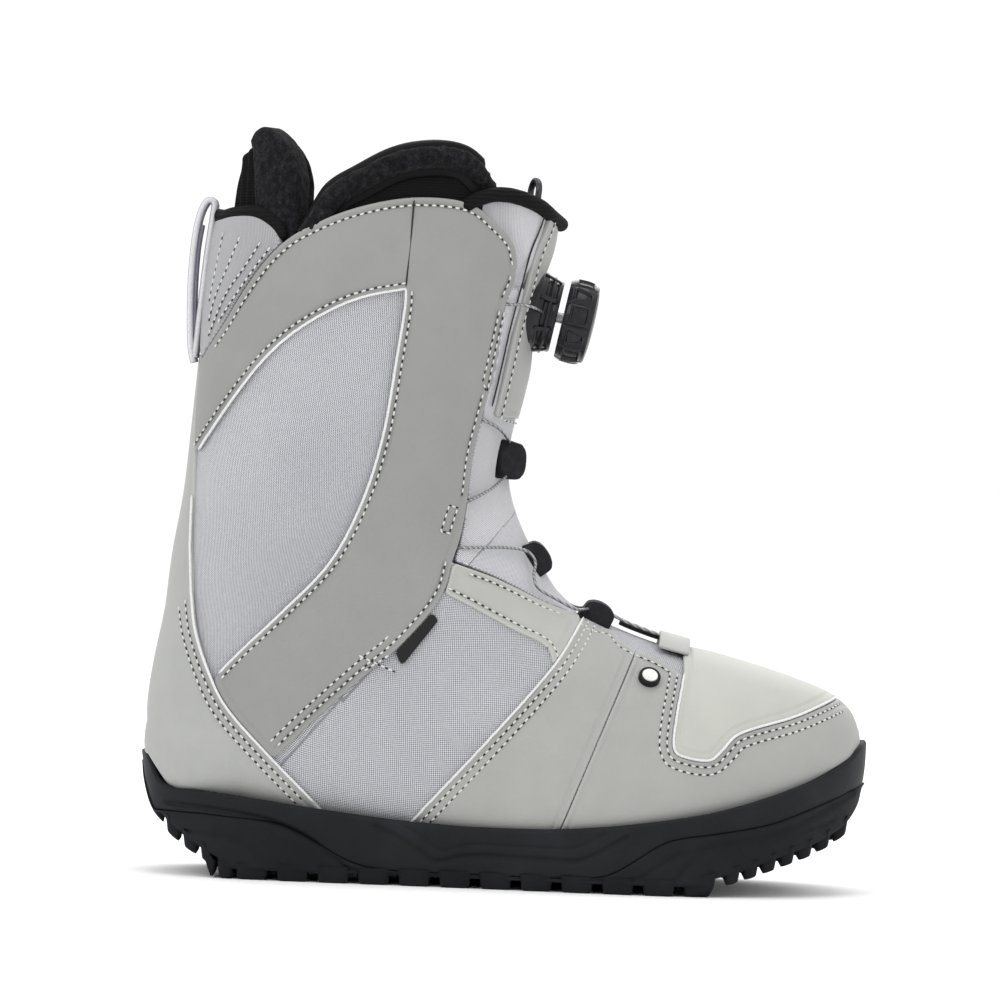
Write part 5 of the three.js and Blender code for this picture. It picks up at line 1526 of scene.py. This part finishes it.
# ---------------------------------------------------------------- lace and its sleeves
# One steel lace per side leaves the dial, runs in fabric sleeves behind the flap edges and
# crosses the throat at each guide; both ends turn in the toe loop.
LACE_START = [(8.6, -11.6, 227.3), (8.0, -18.0, 228.0), (4.6, -24.6, 229.4)]
LACE_ROUTE = [
    (-1, 230.6, 1.6), (-4.2, 230.2, 0), (-6.2, 229.4, -3.6), (-8.6, 226.5, -6.1),
    (-11.5, 214, -6.1), (-14.5, 201, -6.1), (-17.6, 189, -6.1), (-16, 185.8, -4),
    (-12.4, 183.8, -0.6), (-8, 181, 1.3), (-4.2, 176, 1.6), (-2.6, 171, 2.4), (-3.2, 165.5, 2.2),
    (-6, 161, 1.5), (-11, 156.5, 1.2), (-16.6, 152.6, -0.8), (-20.4, 150.6, -4.2),
    (-22.6, 147, -6.1), (-23.8, 140, -6.1), (-23.2, 135.4, -5), (-19.4, 133.6, -0.8),
    (-12, 133.4, 1.3), (-3, 133.4, 1.5), (4, 131.6, 2.4), (7.4, 127.4, 2.4), (7.6, 122.2, 1.8),
    (10, 117.6, 1.3), (17, 113.4, 1.3), (26, 109.2, 1.3),
]
LACE_END = [(35, -7.4, 110.6), (46, -5, 105.6), (58, -4.6, 101.4), (64.6, -3.6, 99.6),
            (67, 0.1, 98.9)]
LACE_RADIUS = 0.6
SLEEVE_RADIUS = 1.7
SLEEVES = {"upper": (3, 7), "lower": (16, 20)}


def routed(route):
    route = np.asarray(route, float)
    return np.vstack([on_form([(x, z)], 1, lift)[0] for x, z, lift in route])


def make_lace():
    path = np.vstack([LACE_START, routed(LACE_ROUTE), LACE_END])
    path = evenly(spline(path, 600), 0.8)
    points, faces, _ = gathered([sweep(path * (1, sign, 1), circle(LACE_RADIUS, 10))
                                 for _, _, sign in SIDES])
    lace = piece("steel_lace", points, faces, coated_steel, body=None)
    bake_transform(lace)
    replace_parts(lace, "lace")


def make_sleeves():
    for run, (first, last) in SLEEVES.items():
        path = evenly(spline(routed(LACE_ROUTE[first:last]), 60), 0.8)
        for name, _, sign in SIDES:
            points, faces = sweep(path * (1, sign, 1), circle(SLEEVE_RADIUS, 12, 0.9), None, 1)
            sleeve = piece("lace_sleeve_" + run + "_cloth_" + name, points, faces, pull_webbing)
            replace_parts(sleeve, "lace_sleeve_" + run + "_" + name)


def strands(name, colour, coat):
    """Fine twisted wire under a clear coating."""
    finish = Finish(name, colour, 0.34, metallic=0.9, coat=coat)
    twist = finish.node("ShaderNodeTexWave", {"bands_direction": "DIAGONAL"},
                        {"Vector": finish.place(), "Scale": 260.0, "Distortion": 0.6})
    finish.paint(finish.mix(twist, shade(colour, 0.45), shade(colour, 1.3)))
    return finish.emboss(twist, 0.00015).material


coated_steel = strands("coated_steel", (0.30, 0.30, 0.31), 0.4)
make_lace()
make_sleeves()


# ---------------------------------------------------------------- liner
# The removable liner is foam between knit and fleece: a sewn bootie, two cuffs, a ribbed heel
# collar and its own tongue, which opens with the shell tongue. A pull on a cord tightens it.
LINER_OUTER = -4.8                      # depth of the liner's outer face below the form
LINER_FRONT = -9.1                      # and its depth near the throat, behind the gussets
LINER_INSET = 15.5
LINER_THICK = 10.7
PAD_ROUND = 2.2
TONGUE_ROOM = 2.6
LINER_SPLIT = 120.0                     # height of the seam between bootie and cuffs
LINER_REAR = -90.5                      # the seam between a cuff and the heel collar
ROLL_RADIUS = 4.3
RIM_RISE, KNIT_DROP, ROLL_DROP = 3.6, -10.5, -3.2   # off the line along the top of a cuff
CORD_SLOT = (1.8, 205)                  # half width of the cord's slot and where it starts
LOCK_SLOT = (6.8, 218, 8.2)             # half width, middle and half height of the lock's window
TUFT = 0.22
LINER_SIDE_TOP = [
    (-91.5, 255), (-85.8, 259.6), (-78.3, 271.9), (-66.5, 279.1), (-50.8, 286.9), (-34.9, 289.5),
    (-23.3, 288.3), (-15.8, 283.7), (-10, 277.2), (-2, 268), (20, 262),
]
LINER_HEEL_TOP = [
    (-121.5, 262), (-120.1, 276.4), (-118.6, 284.9), (-114.6, 292), (-110.5, 296.6),
    (-105.6, 296.5), (-98.2, 291.2), (-93.3, 284.2), (-90.4, 274.7),
]


def fleece(name, colour):
    """High-pile fleece: small soft curls, with a painted highlight on the top of each."""
    finish = Finish(name, colour, 0.95, sheen=0.03)
    curl = finish.noise(420, 4.0)
    tuft = finish.noise(1100, 3.0)
    height = curl * 0.7 + tuft * 0.5
    # Painted highlight: the tops of the curls are lightened, and the hollows between them are kept
    # dark as painted shade.
    painted_tip_highlight = (height * 1.3 - 0.3) ** 3.0
    finish.paint(finish.mix(painted_tip_highlight, shade(colour, 0.5), shade(colour, 12.0)))
    return finish.emboss(height, 0.0011).material


black_fleece = fleece("black_fleece", (0.0042, 0.0042, 0.0048))
lining_knit = ribbed("lining_knit", (0.0030, 0.0030, 0.0033), 0.0011, 0.00025)
smooth_black = fibre("smooth_black", (0.0035, 0.0035, 0.004), 0.5, 2600, 0.0001, 0.02)
liner_throat = region([(60, 108), (60, FAR), (-14, FAR), (-10, 262), (-6.5, 247),
                       *[(x - 5, z) for x, z in flap_line[1:]], (-29, 108)])
front_setback = (LINER_FRONT - LINER_OUTER) * np.clip((throat + 19) / 3, 0, 1)
above_split = GZ - LINER_SPLIT - GAP
rng = np.random.default_rng(7)


def fuzz_field(height):
    """Small uneven tufts, different at every point of the form."""
    rough = rng.random(GX.shape)
    rough = (rough + np.roll(rough, 1, 0) + np.roll(rough, 1, 1) + np.roll(rough, -1, 0)) / 4
    return height * (rough - 0.5) * 2


def padded_piece(name, field, finish, top, thick, raise_by, body, fill, *replaced):
    pad = panel(name, field, finish, top, thick, PAD_ROUND, raise_by, body, True)
    if replaced:
        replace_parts(pad, *replaced)


def make_bootie():
    low = both(LINER_SPLIT - GZ, -below_upper, -liner_throat)
    base_line = np.stack([STATIONS[1:16, 2], STATIONS[1:16, 3] + LINER_INSET + 4], 1)
    base = region([*base_line, (-160, 48), (-160, -10), (160, -10), (160, 60)])
    toe = region([(58, 0), (160, 0), (160, 130), (58, 130)])
    padded_piece("liner_sole_pad", both(LINER_SPLIT - GZ, base), lining_knit, LINER_OUTER,
                 LINER_THICK, None, "boot", 0.5, "liner_base")
    walls = both(low, -base - GAP)
    padded_piece("liner_toe_box", both(walls, toe), lining_knit, LINER_OUTER, LINER_THICK,
                 front_setback, "boot", 0.5, "liner_toe")
    sides = both(walls, -toe - GAP)
    for name, half, _ in SIDES:
        padded_piece("liner_quarter_" + name, both(sides, half - GAP / 2), lining_knit,
                     LINER_OUTER, LINER_THICK, front_setback, "boot", 0.5, "liner_side_" + name)


def make_liner_cuffs():
    top_line = spline(LINER_SIDE_TOP, 60)
    rim = beside(top_line, RIM_RISE)
    under = region([*rim, (60, 262), (60, 100), (-96, 100), (-96, 250)])
    cuff = both(under, above_split, -liner_throat - TONGUE_ROOM, GX - LINER_REAR)
    knit_line = beside(top_line, KNIT_DROP)
    knit_area = region([*knit_line[8:], (20, 240), (-70, 240)])
    for name, half, side in SIDES:
        padded_piece("liner_cuff_pad_" + name, both(cuff, half - GAP / 2), smooth_black,
                     LINER_OUTER, LINER_THICK, front_setback, "boot", 0.6, "liner_cuff_" + name)
        roll_line = evenly(beside(top_line, ROLL_DROP)[:52], 1.6)
        path, out = on_form(roll_line, side, LINER_OUTER + 1.2)
        setback = np.interp(path[:, 0], (-30, -12), (0, LINER_FRONT - LINER_OUTER))
        path = path + out * setback[:, None]
        points, faces = sweep(path, circle(ROLL_RADIUS, 20, 0.92), out, 3)
        tufts = rng.normal(0, TUFT, points.shape)
        roll = piece("liner_fleece_roll_" + name, points + tufts, faces, black_fleece)
        bump = both(knit_area, half - 1, -liner_throat - 6)
        padded_piece("liner_knit_pad_" + name, bump, lining_knit, LINER_OUTER + 1.2, 3.0,
                     front_setback + swell(bump, 2.2, 4), "boot", 0.6)


def make_heel_collar():
    rear = both(above_split, LINER_REAR - GAP - GX)
    crown = spline(LINER_HEEL_TOP, 40)
    under = region([(-160, 262), *crown, (-80, 262), (-80, 100), (-160, 100)])
    rib_top = [(-121.5, 262), (-120.6, 276.4), (-118.9, 284.4), (-115.8, 288.6), (-112.6, 290.6)]
    ribs = region([(-160, 262), *spline(rib_top, 24), (-110.5, 284), (-109.0, 262), (-108.5, 100),
                   (-160, 100)])
    tucked = 0.55 * np.sin(GX * 2.2)
    padded_piece("liner_heel_ribs", both(rear, ribs), lining_knit, LINER_OUTER, LINER_THICK,
                 tucked, "boot", 0.6, "liner_heel_collar")
    pile = both(rear, under, region([(-117.5, 300), (-112.6, 286), (-110.5, 262), (-110, 100),
                                     (-80, 100), (-80, 300)]))
    padded_piece("liner_heel_fleece", pile, black_fleece, LINER_OUTER + 0.4, LINER_THICK,
                 swell(pile, 2.0, 5) + fuzz_field(0.5), "boot", 0.7)


def make_liner_tongue():
    cord_room = np.maximum(abs(GY) - CORD_SLOT[0], CORD_SLOT[1] - GZ)
    lock_room = np.maximum(abs(GY) - LOCK_SLOT[0], abs(GZ - LOCK_SLOT[1]) - LOCK_SLOT[2])
    field = both(liner_throat - TONGUE_ROOM - 3, above_split, 264 - GZ, cord_room, lock_room)
    padded_piece("liner_tongue_pad", field, smooth_black, LINER_FRONT,
                 LINER_INSET + LINER_FRONT, None, "liner_tongue", 0.6, "liner_tongue")


PULL_SEAT = np.array((-2.4, 0.0, 216.0))
PULL_RUN = unit(np.array((0.1, 0.0, 1.0)))
PULL_FRONT = np.array((PULL_RUN[2], 0.0, -PULL_RUN[0]))
PULL_CORD = (-6.5, 53.0)
CORD_RADIUS = 0.75
STEM_RADIUS = 1.7
HANDLE_FOOT = 52.0
HANDLE_ARCH, HANDLE_EYE = 4.6, 8.2      # radius of the loop's head and its height over the foot
HANDLE_TURN = -0.35                     # the handle hangs turned towards the outer side


def on_pull(s, y=0.0, out=0.0):
    return PULL_SEAT + PULL_RUN * s + np.array((0, y, 0)) + PULL_FRONT * out


def make_pull():
    path = np.array([on_pull(s) for s in np.linspace(*PULL_CORD, 60)])
    points, faces = sweep(path, circle(CORD_RADIUS, 10), None, 1)
    braid = fibre("black_cord", (0.012, 0.012, 0.013), 0.7, 3000, 0.0003)
    cord = piece("liner_cord", points, faces, braid, body="liner_pull")
    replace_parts(cord, "liner_pull_cord")
    angle = np.linspace(0, math.pi, 22)
    arch = [(HANDLE_ARCH * math.cos(q), HANDLE_EYE + HANDLE_ARCH * math.sin(q)) for q in angle]
    loop = spline(np.array([(0.0, 1.4), (3.2, 1.7), (4.5, 4.2), *arch, (-4.5, 4.2), (-3.2, 1.7),
                            (0.0, 1.4)]), 90)
    c, s = math.cos(HANDLE_TURN), math.sin(HANDLE_TURN)
    path = np.array([on_pull(HANDLE_FOOT + up, y * c, y * s) for y, up in loop])
    facing = PULL_FRONT * c - np.array((0, s, 0))
    ring = sweep(path, flat_section(1.35, 2.4, 0.8), np.tile(facing, (len(path), 1)))
    stem = sweep(np.array([on_pull(HANDLE_FOOT + s) for s in np.linspace(-3.5, 2.2, 8)]),
                 circle(STEM_RADIUS, 16), None, 2)
    points, faces, _ = gathered([ring, stem])
    handle = piece("liner_pull_loop", points, faces, glossy_grey, body="liner_pull")
    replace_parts(handle, "liner_pull_handle")


glossy_grey = plastic("glossy_grey", (0.018, 0.018, 0.021), 0.2, 0.6, 0.00002)
make_bootie()
make_liner_cuffs()
make_heel_collar()
make_liner_tongue()
make_pull()
refinish("liner_cord_lock", black_plastic)


# ---------------------------------------------------------------- lasting board and footbed
# A fibre board carries the lasted upper; the removable foam footbed lies inside the liner on
# its sewn-in base, dished at the heel and flat at the forefoot.
BED_STATIONS = (5.0, 15.0)
BED_SPREAD = 0.95
BED_ROWS, BED_ACROSS = 60, 25


def make_footbed():
    rings = []
    for t in np.linspace(*BED_STATIONS, BED_ROWS):
        turn = np.linspace(math.pi - BED_SPREAD, math.pi + BED_SPREAD, BED_ACROSS)
        bottom = form_point(np.full(BED_ACROSS, t), turn, LINER_INSET + GAP)
        share = np.linspace(1, 0, BED_ACROSS)[1:-1, None]
        top = bottom[0] * (1 - share) + bottom[-1] * share
        rings.append(np.vstack([bottom, top]))
    count = len(rings[0])
    faces = lattice(len(rings), count, flip=True)
    faces += [tuple(range(count)), tuple(range((len(rings) - 1) * count, len(rings) * count))[::-1]]
    cover = ribbed("footbed_cover", (0.05, 0.05, 0.055), 0.002, 0.0001)
    bed = piece("foam_footbed", np.vstack(rings), faces, cover)
    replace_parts(bed, "footbed")


def board_fibre():
    finish = Finish("board_fibre", (0.42, 0.33, 0.22), 0.85)
    fleck = finish.noise(900, 5.0)
    finish.paint(finish.mix(fleck, (0.30, 0.23, 0.15), (0.52, 0.42, 0.30)))
    return finish.emboss(fleck, 0.0001).material


make_footbed()
refinish("lasting_board", board_fibre())


# ---------------------------------------------------------------- studio floor
# A plain pale floor large enough to reach the edge of every view.
FLOOR_HALF = 20.0


def make_floor():
    a = FLOOR_HALF
    mesh = bpy.data.meshes.new("floor")
    mesh.from_pydata([(-a, -a, 0), (a, -a, 0), (a, a, 0), (-a, a, 0)], [], [(0, 1, 2, 3)])
    finish = Finish("studio_floor", (0.97, 0.97, 0.97), 0.9)
    tone = finish.noise(3, 2.0)
    finish.paint(finish.mix(tone, (0.965, 0.965, 0.965), (0.975, 0.975, 0.975)))
    mesh.materials.append(finish.material)
    floor = bpy.data.objects.new("floor", mesh)
    bpy.context.scene.collection.objects.link(floor)


make_floor()
